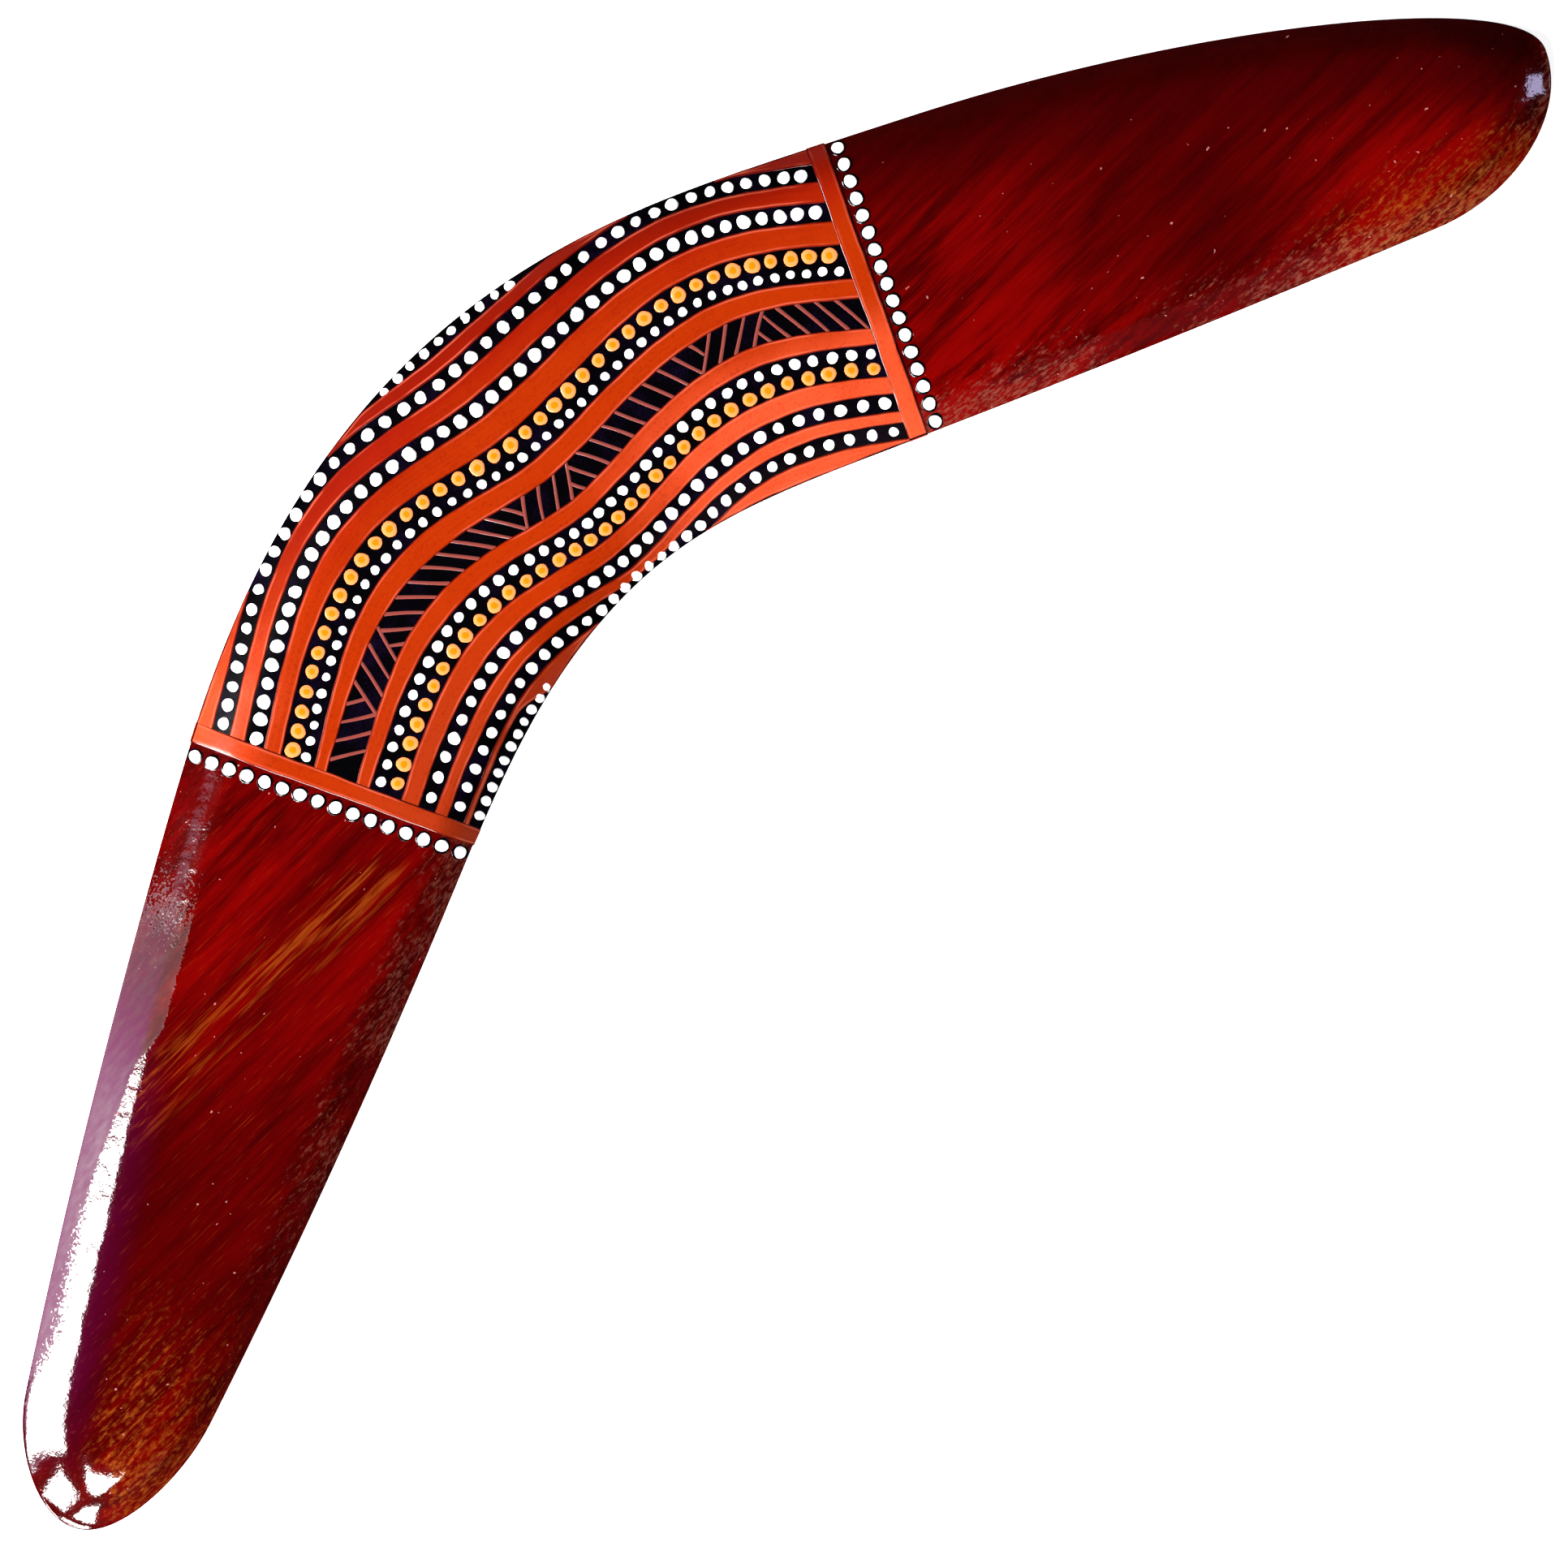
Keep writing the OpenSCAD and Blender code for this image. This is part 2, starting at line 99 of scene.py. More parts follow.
class BoardSizes(bpy.types.PropertyGroup):
    """Sizes of the carved blank."""

    left_arm: length("Left arm", "Centre line length from elbow to left tip", 223 * MM)
    right_arm: length("Right arm", "Centre line length from elbow to right tip", 217 * MM)
    left_sweep: angle("Left sweep", "Angle of the left arm off the line from tip to tip", 26)
    right_sweep: angle("Right sweep", "Angle of the right arm off the line from tip to tip", 25)
    left_elbow: length("Left elbow", "Length of the left arm over which the elbow turns", 85 * MM)
    right_elbow: length("Right elbow", "Length of the right arm that turns", 70 * MM)
    elbow_width: length("Elbow width", "Width at the elbow", 61.6 * MM)
    left_tip_width: length("Left tip width", "Width the left arm tapers to", 29 * MM)
    right_tip_width: length("Right tip width", "Width the right arm tapers to", 47 * MM)
    left_outer_cap: length("Left outer cap", "Rounding of the left tip, outer edge", 22 * MM)
    left_inner_cap: length("Left inner cap", "Rounding of the left tip, inner edge", 28 * MM)
    right_outer_cap: length("Right outer cap", "Rounding of the right tip, outer edge", 120 * MM)
    right_inner_cap: length("Right inner cap", "Rounding of the right tip, inner edge", 31 * MM)
    thickness: length("Thickness", "Thickness at the middle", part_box("carved_blank")[1].z)
    rim: length("Rim height", "Height at which the upper face meets the edge", 3.2 * MM)
    lower_round: length("Lower rounding", "Rounding of the lower edge", 0.8 * MM)
    leading_bevel: length("Leading bevel", "Width of the blunt roll-off", 9 * MM)
    trailing_bevel: length("Trailing bevel", "Width of the long roll-off", 15 * MM)
    tip_bevel: length("Tip bevel", "Length of the roll-off towards each tip", 22 * MM)
    rim_inset: length("Rim softening, in", "How far in the sanded rim starts", 0.4 * MM)
    rim_drop: length("Rim softening, down", "How far down the sanded rim ends", 0.5 * MM)


class PaintSizes(bpy.types.PropertyGroup):
    """Sizes of the paint."""

    ground: length("Ground coat", "Thickness of the black ground coat", 0.15 * MM)
    stripe: length("Stripe", "Thickness of an ochre stripe", 0.12 * MM)
    stroke: length("Hatch stroke", "Thickness of a hatch stroke", 0.09 * MM)
    lip: length("Paint lip", "Width over which a stripe's edge rounds off", 0.22 * MM)
    under_dot: length("Under dot", "Thickness of the black dots in the end rows", 0.12 * MM)
    dome: share("Dot dome", "Height of a dot as a share of its radius", 0.16)
    wobble: length("Hand wobble", "How far a painted edge strays", 0.13 * MM)
    hatch_pitch: length("Hatch pitch", "From one group of full strokes to the next", 48 * MM)
    hatch_start: length("Hatch start", "Where the middle group starts", -6.4 * MM)
    hatch_gap: length("Hatch spacing", "From stroke to stroke", 3.7 * MM)
    hatch_lean: length("Hatch lean", "How far a stroke leans along the line", 4.2 * MM)
    hatch_width: length("Hatch width", "Width of a stroke", 0.62 * MM)


class Colours(bpy.types.PropertyGroup):
    """Colours of the stain and the paint, and of the painted sheens, reflections and shade."""

    stain_dark: colour("Dark stain", "Wood where the stain took most", (0.018, 0.0, 0.0001))
    stain: colour("Stain", "Wood over most of the arms", (0.045, 0.0, 0.0001))
    # lighter wood: partly thin stain, partly painted light
    pale_stain_and_painted_light: colour("Light stain", "Wood where the stain took least", (0.108, 0.0003, 0.0002))
    # a painted purple reflection beside the left arm's highlight
    painted_purple_sheen: colour("Varnish haze", "Thick varnish beside the left shoulder",
                         (0.028, 0.0002, 0.0072))
    # a painted mauve sheen over the dull edge
    dull_edge_and_sheen: colour("Dull edge", "Dull varnish along the left arm's outer edge",
                      (0.048, 0.0005, 0.024))
    bare_pink: colour("Worn grain", "Grain along the worn edges", (0.13, 0.034, 0.022))
    bare_orange: colour("Bare grain", "Grain at the tips that took little stain",
                        (0.20, 0.044, 0.005))
    bare_streak: colour("Bare streak", "Paler grain through the left arm", (0.14, 0.022, 0.002))
    ochre: colour("Ochre", "The stripes", (0.228, 0.0150, 0.0004))
    ochre_red: colour("Red ochre", "The stripes near the outer edge", (0.17, 0.0045, 0.0005))
    # pale line along stripe edges, partly a painted highlight
    ochre_pale_and_highlight: colour("Pale ochre", "Brushed edges of the stripes", (0.40, 0.075, 0.040))
    # a painted pink sheen on the ochre
    coral_sheen: colour("Coral", "Stripes where the varnish is thick", (0.41, 0.045, 0.0135))
    ochre_brown: colour("Brown ochre", "Stripes in the crook of the elbow", (0.20, 0.017, 0.003))
    black: colour("Black", "The ground coat", (0.0002, 0.0001, 0.0003))
    # painted blue-violet reflections on the black
    black_reflection: colour("Haze", "Smudges in the varnish over the black", (0.003, 0.0010, 0.007))
    white: colour("White", "The white dots", (0.90, 0.90, 0.88))
    apricot: colour("Apricot", "The pale ring of the orange dots", (0.68, 0.195, 0.055))
    amber: colour("Amber", "The middle of the orange dots", (0.70, 0.128, 0.001))
    hatch: colour("Hatch", "The hatch strokes", (0.15, 0.031, 0.025))


class StageSettings(bpy.types.PropertyGroup):
    """The camera, the floor and the lights."""

    frame_width: length("Frame width", "Width of what the camera sees", 303.8 * MM)
    height: length("Camera height", "Height of the camera above the floor", 2.0)
    turn: angle("Camera turn", "Turn of the camera about the upright", -44.64)
    aim: bpy.props.FloatVectorProperty(
        name="Aim", description="The spot under the camera", size=2, unit="LENGTH",
        default=(-2.6 * MM, -47.2 * MM))
    key: share("Key light", "Strength of the long light beside the left arm", 1.0)
    fill: share("Fill lights", "Strength of the wide lights", 1.0)


# ---- the shape of the blank ----

class Board:
    """Outline and crown of the blank, as rules of s and d."""

    def __init__(self, sizes):
        self.size = sizes
        half = int(max(sizes.left_arm, sizes.right_arm) / LINE_STEP) + SPARE_STEPS
        self.line_s = np.arange(-half, half + 1) * LINE_STEP
        turn = self.heading(self.line_s[:-1] + LINE_STEP / 2)
        steps = LINE_STEP * np.stack([np.cos(turn), np.sin(turn)], 1)
        self.line = np.concatenate([np.zeros((1, 2)), np.cumsum(steps, 0)])
        self.line -= self.line[half]
        self.origin = np.zeros(2)
        low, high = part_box("carved_blank")
        rim = np.concatenate([self.flat(*self.around(np.linspace(-1, 1, 801), side))
                              for side in (INNER, OUTER)])
        middle = (np.array(low.xy) + np.array(high.xy)) / 2
        self.origin = (rim.min(0) + rim.max(0)) / 2 - middle

    def pick(self, s, name):
        """That size of the arm that s is on."""
        left, right = (getattr(self.size, f"{arm}_{name}") for arm in ("left", "right"))
        return np.where(s < 0, left, right)

    def heading(self, s):
        turned = np.minimum(np.abs(s) / self.pick(s, "elbow"), 1)
        return -np.sign(s) * self.pick(s, "sweep") * np.sin(np.pi / 2 * turned)

    def across_way(self, s):
        turn = self.heading(s)
        return np.stack([-np.sin(turn), np.cos(turn)], -1)

    def flat(self, s, d):
        """The plan place of s and d."""
        centre = np.stack([np.interp(s, self.line_s, self.line[:, k]) for k in (0, 1)], -1)
        return centre + np.asarray(d)[..., None] * self.across_way(s) - self.origin

    def half_width(self, s, side, inset=0.0):
        reach = self.pick(s, "arm") - inset
        tip = self.pick(s, "tip_width")
        cap = self.pick(s, "outer_cap" if side == OUTER else "inner_cap")
        rounding = np.clip((np.abs(s) - reach + cap) / cap, 0, 1)
        elbow = self.size.elbow_width
        width = elbow - (elbow - tip) * (s / reach) ** 2 - 2 * inset
        return width / 2 * np.sqrt(1 - rounding ** 2)

    def station(self, t, inset=0.0):
        """s of the station t, from -1 at the left tip to 1 at the right, crowded at the tips."""
        return (self.pick(t, "arm") - inset) * np.sin(np.pi / 2 * t)

    def around(self, t, side, inset=0.0):
        s = self.station(t, inset)
        return s, (1 if side == OUTER else -1) * self.half_width(s, side, inset)

    def half_widths(self, s, inset=0.0):
        return self.half_width(s, INNER, inset), self.half_width(s, OUTER, inset)

    def gaps(self, s, d):
        """Distances to the inner and to the outer edge."""
        inner, outer = self.half_widths(s)
        return inner + d, outer - d

    def crown(self, s, d):
        """Height of the upper face, before its rim is sanded."""
        size = self.size
        inner, outer = self.gaps(s, d)
        lead = ease(0.5 + s / size.left_elbow)
        span = size.leading_bevel - size.trailing_bevel
        rise = (roll(outer / (size.trailing_bevel + span * lead))
                * roll(inner / (size.trailing_bevel + span * (1 - lead)))
                * roll((self.pick(s, "arm") - np.abs(s)) / size.tip_bevel))
        return size.rim + (size.thickness - size.rim) * rise

    def sanding(self, inset):
        """How far the sanded rim has dropped at a distance inside the edge."""
        q = np.clip(1 - inset / self.size.rim_inset, 0, 1)
        return self.size.rim_drop * (1 - np.sqrt(1 - q ** 2))

    def skin(self, s, d):
        """The point of the surface at s and d. Past an edge it goes down the side."""
        past = np.maximum(0, -np.minimum(*self.gaps(s, d)))
        inner, outer = self.half_widths(s)
        d = np.clip(d, -inner, outer)
        z = self.crown(s, d) - self.sanding(np.minimum(*self.gaps(s, d)))
        return np.concatenate([self.flat(s, d), (z - past)[..., None]], -1)

    def lift(self, s, d, height):
        """The point that stands off the surface by a height, square to it."""
        h = 0.03 * MM
        along = self.skin(s + h, d) - self.skin(s - h, d)
        across = self.skin(s, d + h) - self.skin(s, d - h)
        normal = np.cross(along, across)
        normal /= np.linalg.norm(normal, axis=-1, keepdims=True)
        return self.skin(s, d) + np.asarray(height)[..., None] * normal

    def find(self, xy):
        """s and d of points in plan."""
        s, d = [], []
        for part in np.array_split(xy + self.origin, len(xy) // 2000 + 1):
            near = np.argmin(((part[:, None] - self.line[None, ::4]) ** 2).sum(-1), 1) * 4
            here = self.line_s[near]
            off = part - self.line[near]
            way = self.across_way(here)
            step = (off * np.stack([way[:, 1], -way[:, 0]], 1)).sum(1)
            s.append(here + step)
            d.append((off * way).sum(1))
        return np.concatenate(s), np.concatenate(d)


def roll(x):
    return 1 - (1 - np.clip(x, 0, 1)) ** CROWN_POWER


def ease(x):
    q = np.clip(x, 0, 1)
    return q * q * (3 - 2 * q)


# ---- reading the frame ----

def cad_points(node):
    """The distinct points of a CAD node and the triangles between them."""
    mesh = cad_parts[node].data
    points = np.zeros(len(mesh.vertices) * 3, np.float32)
    mesh.vertices.foreach_get("co", points)
    corners = np.zeros(len(mesh.loops), np.int32)
    mesh.loops.foreach_get("vertex_index", corners)
    _, first, same = np.unique(
        np.round(points.reshape(-1, 3) / SAME_POINT).astype(np.int64), axis=0,
        return_index=True, return_inverse=True)
    return points.reshape(-1, 3)[first].astype(float), same.reshape(-1)[corners].reshape(-1, 3)


def cad_islands(node):
    """The points of each separate body in a CAD node, from left to right."""
    points, triangles = cad_points(node)
    label = np.arange(len(points))
    while True:
        least = label[triangles].min(1)
        new = label.copy()
        for k in range(3):
            np.minimum.at(new, triangles[:, k], least)
        if (new == label).all():
            break
        label = new
    groups = [points[label == name] for name in np.unique(label)]
    return sorted(groups, key=lambda group: group[:, 0].mean())


def cad_stretches(board, node):
    """For each body of a CAD stripe, s of its sections and d of their inner and outer ends."""
    found = []
    for group in cad_islands(node):
        s, d = board.find(group[:, :2])
        order = np.argsort(s)
        s, d = s[order], d[order]
        cuts = np.nonzero(np.diff(s) > SECTION_GAP)[0] + 1
        sections = [(a.mean(), b.min(), b.max())
                    for a, b in zip(np.split(s, cuts), np.split(d, cuts))]
        found.append(np.array(sections).T)
    return found


def cad_reach(board, node):
    """The least and the greatest s of a CAD node."""
    points, _ = cad_points(node)
    s, _ = board.find(points[:, :2])
    return s.min(), s.max()


def smooth_curve(x, xs, ys):
    """A smooth curve through points."""
    slope = np.gradient(ys, xs)
    k = np.clip(np.searchsorted(xs, x) - 1, 0, len(xs) - 2)
    h = xs[k + 1] - xs[k]
    q = np.clip((x - xs[k]) / h, 0, 1)
    return ((1 + 2 * q) * (1 - q) ** 2 * ys[k] + q * (1 - q) ** 2 * h * slope[k]
            + q * q * (3 - 2 * q) * ys[k + 1] + q * q * (q - 1) * h * slope[k + 1])


# ---- modelling ----

def deselect():
    if bpy.context.object and bpy.context.object.mode != "OBJECT":
        bpy.ops.object.mode_set(mode="OBJECT")
    bpy.ops.object.select_all(action="DESELECT")


def select_only(piece):
    deselect()
    piece.select_set(True)
    bpy.context.view_layer.objects.active = piece


def get_points(piece):
    points = np.zeros(len(piece.data.vertices) * 3)
    piece.data.vertices.foreach_get("co", points)
    return points.reshape(-1, 3)


def set_points(piece, points):
    piece.data.vertices.foreach_set("co", np.asarray(points, float).reshape(-1))
    piece.data.update()


def set_places(piece, *numbers):
    """Stores three numbers for each point, for the materials."""
    layer = piece.data.attributes.new("place", "FLOAT_VECTOR", "POINT")
    layer.data.foreach_set("vector", np.stack(numbers, 1).reshape(-1))


def new_grid(name, columns, rows):
    """A grid, with the column and row of each of its points."""
    deselect()
    bpy.ops.mesh.primitive_grid_add(x_subdivisions=columns, y_subdivisions=rows, size=1.0)
    piece = bpy.context.object
    piece.name = piece.data.name = name
    at = get_points(piece)[:, :2] + 0.5
    return piece, np.rint(at[:, 0] * columns).astype(int), np.rint(at[:, 1] * rows).astype(int)


def close_up(piece):
    """Merges the points that meet and turns the faces outwards."""
    select_only(piece)
    bpy.ops.object.mode_set(mode="EDIT")
    bpy.ops.mesh.select_all(action="SELECT")
    bpy.ops.mesh.remove_doubles(threshold=MEETING)
    bpy.ops.mesh.normals_make_consistent(inside=False)
    bpy.ops.object.mode_set(mode="OBJECT")


def give_body(piece, thickness):
    """Makes a sheet of paint a closed body under its own surface."""
    select_only(piece)
    wall = piece.modifiers.new("wall", "SOLIDIFY")
    wall.thickness = thickness
    wall.offset = -1.0
    bpy.ops.object.modifier_apply(modifier=wall.name)


def join_all(pieces, name):
    select_only(pieces[0])
    for piece in pieces[1:]:
        piece.select_set(True)
    if len(pieces) > 1:
        bpy.ops.object.join()
    whole = bpy.context.object
    whole.name = whole.data.name = name
    return whole


def finish_piece(piece, node, slot):
    """Gives a piece its finish, hangs it on the root body and hides the CAD node that it stands
    for.
    """
    select_only(piece)
    bpy.ops.object.shade_smooth_by_angle(angle=np.radians(SMOOTH_ANGLE))
    piece.data.materials.clear()
    piece.data.materials.append(material(slot))
    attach(piece, "root")
    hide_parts(node)


RNG = np.random.default_rng(26)


def hand_wobble(x, size):
    """A slow, small straying along x, as a painted edge has."""
    stray = np.zeros_like(x)
    for wave, part in ((31 * MM, 0.5), (13 * MM, 0.3), (5.5 * MM, 0.2)):
        stray += part * np.sin(2 * np.pi * (x / wave + RNG.random()))
    return size * stray


def film_steps(width, lip, cells):
    """Places across a film, closer together at its two rounded lips, as shares of its width."""
    lips = np.array([0, 0.08, 0.3, 0.62]) * lip
    middle = np.linspace(lip, width - lip, cells + 1)
    return np.concatenate([lips, middle, width - lips[::-1]]) / width


def film_height(from_edge, lip, thickness):
    q = np.clip(from_edge / lip, 0, 1)
    return -EDGE_SINK + (thickness + EDGE_SINK) * np.sqrt(1 - (1 - q) ** 2)


# ---- shader kit ----

class Wire:
    """A socket that shader maths can be written with."""

    def __init__(self, finish, socket):
        self.finish = finish
        self.socket = socket

    def maths(self, operation, *values):
        return self.finish.node("ShaderNodeMath", {"operation": operation}, dict(enumerate(values)))

    def __add__(self, other):
        return self.maths("ADD", self, other)

    def __sub__(self, other):
        return self.maths("SUBTRACT", self, other)

    def __rsub__(self, other):
        return self.maths("SUBTRACT", other, self)

    def __mul__(self, other):
        return self.maths("MULTIPLY", self, other)

    __radd__ = __add__
    __rmul__ = __mul__

    def between(self, low, high):
        """0 below low, 1 above high and a smooth step between; low may be the greater."""
        return self.finish.node(
            "ShaderNodeMapRange", {"interpolation_type": "SMOOTHSTEP", "clamp": True},
            {"Value": self, "From Min": low, "From Max": high, "To Min": 0.0, "To Max": 1.0})


class Finish:
    """A material under construction."""

    def __init__(self, name):
        self.material = bpy.data.materials.new(name)
        self.material.use_nodes = True
        self.tree = self.material.node_tree
        self.tree.nodes.clear()

    def node(self, kind, settings, sockets, out=0):
        made = self.tree.nodes.new(kind)
        for key, value in settings.items():
            setattr(made, key, value)
        for key, value in sockets.items():
            if isinstance(value, Wire):
                self.tree.links.new(value.socket, made.inputs[key])
            else:
                made.inputs[key].default_value = value
        return Wire(self, made.outputs[out])

    def vector(self, operation, a, b):
        return self.node("ShaderNodeVectorMath", {"operation": operation}, {0: a, 1: b})

    def mix(self, factor, a, b, way="MIX"):
        """From colour a to colour b."""
        def full(c):
            return c if isinstance(c, Wire) else (*c, 1.0)
        return self.node("ShaderNodeMix", {"data_type": "RGBA", "blend_type": way},
                         {0: factor, 6: full(a), 7: full(b)}, 2)

    def here(self):
        """Object coordinates in millimetres."""
        point = self.node("ShaderNodeTexCoord", {}, {}, "Object")
        return self.vector("MULTIPLY", point, (1 / MM,) * 3)

    def place(self):
        """The piece's own place attribute in millimetres, and its three numbers."""
        point = self.node("ShaderNodeAttribute", {"attribute_name": "place"}, {}, "Vector")
        scaled = self.vector("MULTIPLY", point, (1 / MM,) * 3)
        apart = self.node("ShaderNodeSeparateXYZ", {}, {0: scaled})
        outs = apart.socket.node.outputs
        return scaled, Wire(self, outs[0]), Wire(self, outs[1]), Wire(self, outs[2])

    def noise(self, at, size, detail=3.0, rough=0.55, warp=0.0, shift=0.0):
        """Noise whose lumps are about size across, in millimetres along x, y and z."""
        spot = self.vector("DIVIDE", at, size)
        if shift:
            spot = self.vector("ADD", spot, (shift, shift * 1.7, shift * 0.6))
        return self.node("ShaderNodeTexNoise", {}, {
            "Vector": spot, "Scale": 1.0, "Detail": detail, "Roughness": rough,
            "Distortion": warp})

    def bump(self, height, strength, distance, under=None):
        sockets = {"Height": height, "Strength": strength, "Distance": distance}
        if under is not None:
            sockets["Normal"] = under
        return self.node("ShaderNodeBump", {}, sockets)

    def surface(self, base, roughness, normal=None, **constants):
        sockets = {"Base Color": base if isinstance(base, Wire) else (*base, 1.0),
                   "Roughness": roughness}
        if normal is not None:
            sockets["Normal"] = normal
        for key, value in constants.items():
            sockets[key.replace("_", " ")] = value
        shader = self.node("ShaderNodeBsdfPrincipled", {}, sockets)
        end = self.tree.nodes.new("ShaderNodeOutputMaterial")
        self.tree.links.new(shader.socket, end.inputs["Surface"])
        return self.material


WOOD_GLOSS, OCHRE_GLOSS, PAINT_GLOSS = 0.07, 0.16, 0.15  # roughness of the varnish
RIM_OF_DAB = (620, 920)  # where the rim's tone comes in, in thousandths of the radius


def varnish_normal(finish, at, strength=1):
    """The fine orange peel and the slow waves of a brushed varnish."""
    peel = finish.noise(at, (0.62, 0.62, 0.62), detail=1)
    waves = finish.noise(at, (6, 6, 6), detail=2, shift=3.1)
    low = finish.bump(waves, 0.30 * strength, 0.4 * MM)
    return finish.bump(peel, 0.6 * strength, 0.03 * MM, under=low)


def stained_grain(finish, colours, at, s, from_inner, from_outer):
    """The colour of the stained wood, with painted light and shade in it. Distances are in
    millimetres.
    """
    left_arm, right_arm = s.between(0, -10), s.between(-10, 0)
    figure = finish.noise(at, (60, 8, 8), detail=3, warp=0.5)
    streaks = finish.noise(at, (26, 1.7, 1.7), detail=4, rough=0.6, shift=5)
    fibres = finish.noise(at, (7, 0.4, 0.4), detail=3, rough=0.6, shift=9)
    grain = figure * 0.42 + streaks * 0.38 + fibres * 0.20
    now = finish.mix(grain.between(0.34, 0.68), colours.stain_dark, colours.stain)
    # paler wood beside the panel, along the middle of the left arm and the inner half of the right
    # one, and towards both tips: partly thinner stain, partly painted light where the lamps fall
    thin_stain_and_painted_light = (s.between(-165, -100) * left_arm * (from_outer.between(44, 10) * 0.5 + 0.3)
            * (from_outer.between(4, 18) * 0.7 + 0.3)
            + s.between(150, 85) * right_arm * from_outer.between(4, 28) * 0.85
            + s.between(140, 190) * from_outer.between(8, 30) * 0.9
            + s.between(-165, -200) * from_outer.between(8, 20) * 0.3
            + from_inner.between(26, 4) * 0.25)
    light = (thin_stain_and_painted_light * 1.15 * grain.between(0.30, 0.70)).between(-0.05, 0.85)
    now = finish.mix(light, now, colours.pale_stain_and_painted_light)
    # painted shade: darker along the leading edge of the right arm, which faces away from the
    # lamps, and on the left arm beside its highlight
    painted_shade_colour = (0.013, 0, 0.0001)
    shade = (s.between(55, 100) * from_outer.between(20, 0)
             + s.between(-130, -160) * from_outer.between(17, 8) * 0.8)
    now = finish.mix(shade * 0.6, now, painted_shade_colour)
    # painted sheen: a purple reflection beside the highlight on the left arm
    purple_sheen_mask = (s.between(-110, -155) * s.between(-224, -196)
            * from_outer.between(20, 8) * (figure + streaks))
    now = finish.mix(purple_sheen_mask.between(0.15, 1.3) * 0.9, now, colours.painted_purple_sheen)
    # a bundle of paler grain runs through the left arm, in a few long streaks
    across_grain = finish.node("ShaderNodeSeparateXYZ", {}, {0: at}, 1)
    bundle = (across_grain.between(-13, -5) * across_grain.between(4, -3)
              * s.between(-185, -120) * s.between(-78, -84))
    ribbons = finish.noise(at, (34, 1.5, 1.5), detail=3, rough=0.55, shift=26)
    fine = finish.noise(at, (9, 0.5, 0.5), detail=2, shift=29)
    pale = (ribbons * 0.6 + fine * 0.4 + bundle * 0.10).between(0.56, 0.68) * bundle
    pale = (pale * (fibres.between(0.34, 0.52) * 0.6 + 0.4)
            + fibres.between(0.60, 0.75) * left_arm * 0.3)
    return finish.mix(pale * 0.8, now, colours.bare_streak)


def worn_grain(finish, colours, now, at, s, from_inner, from_outer):
    """Little stain is held in the worn grain along the inner edges and at the tips."""
    at_left_tip = s.between(-158, -215) * from_outer.between(9, 22) * 0.75
    at_right_tip = (s.between(150, 180) * from_inner.between(20, 1)
                    * from_outer.between(14, 28) * 0.85)
    patches = finish.noise(at, (16, 16, 16), detail=1, shift=31)
    by_inner = (from_inner.between(12, 0.5) * s.between(-190, -120)
                * patches.between(0.30, 0.56))
    flecks = finish.noise(at, (4.5, 0.55, 0.55), detail=4, rough=0.65, shift=13)
    mottle = finish.noise(at, (1.5, 0.9, 0.9), detail=4, rough=0.65, shift=17)
    speckle = flecks * 0.5 + mottle * 0.5
    pink = (speckle + by_inner * 0.13).between(0.57, 0.74)
    now = finish.mix(pink * 0.75 * by_inner.between(0, 0.3), now, colours.bare_pink)
    tips = at_left_tip + at_right_tip
    orange = (speckle + tips * 0.14).between(0.54, 0.80) * tips.between(0, 0.4)
    return finish.mix(orange * 0.8, now, colours.bare_orange)


def dull_edge_and_sheen(finish, colours, now, at, s, from_outer):
    """The varnish is dull along the outer edge of the left arm, in a band that is wider
    towards the panel and frays into grains. Gives the roughness, and a painted mauve
    sheen in the colour."""
    grains = finish.noise(at, (0.6, 0.6, 0.6), detail=1, shift=35)
    cloudy = finish.noise(at, (5, 1.2, 1.2), detail=3, shift=38)
    reach = (s.between(-203, -188) * 3.4 + s.between(-168, -125) * 3.6
             + (grains - 0.5) * (s.between(-150, -180) * 6 + 1.6))
    top = s.between(-136, -124) * 3.2
    dull = ((reach + top - from_outer).between(-0.12, 0.12) * s.between(-206, -201)
            * (s + grains * 36).between(-84, -88))
    # painted sheen: a mauve reflection tinted into the colour of the dull band
    sheen_tint = (dull * (s.between(-108, -140) * 0.55 + 0.35) * (cloudy + 0.5)
            * (reach - from_outer).between(-1.5, 0.5))
    now = finish.mix(sheen_tint.between(0, 1.1), now, colours.dull_edge_and_sheen)
    added = s.between(-150, -122) * 0.30 + 0.60 + (cloudy - 0.5) * 0.5
    return now, dull * added + WOOD_GLOSS


def wood_material(colours):
    finish = Finish("stained_wood_under_varnish")
    at = finish.here()
    _, s, from_inner, from_outer = finish.place()
    now = stained_grain(finish, colours, at, s, from_inner, from_outer)
    now = worn_grain(finish, colours, now, at, s, from_inner, from_outer)
    dust_colour = (0.30, 0.13, 0.12)
    dust = finish.noise(at, (0.9, 0.9, 0.9), detail=0, shift=21).between(0.865, 0.89)
    now = finish.mix(dust * 0.7, now, dust_colour)
    now, rough = dull_edge_and_sheen(finish, colours, now, at, s, from_outer)
    return finish.surface(now, rough, varnish_normal(finish, at))


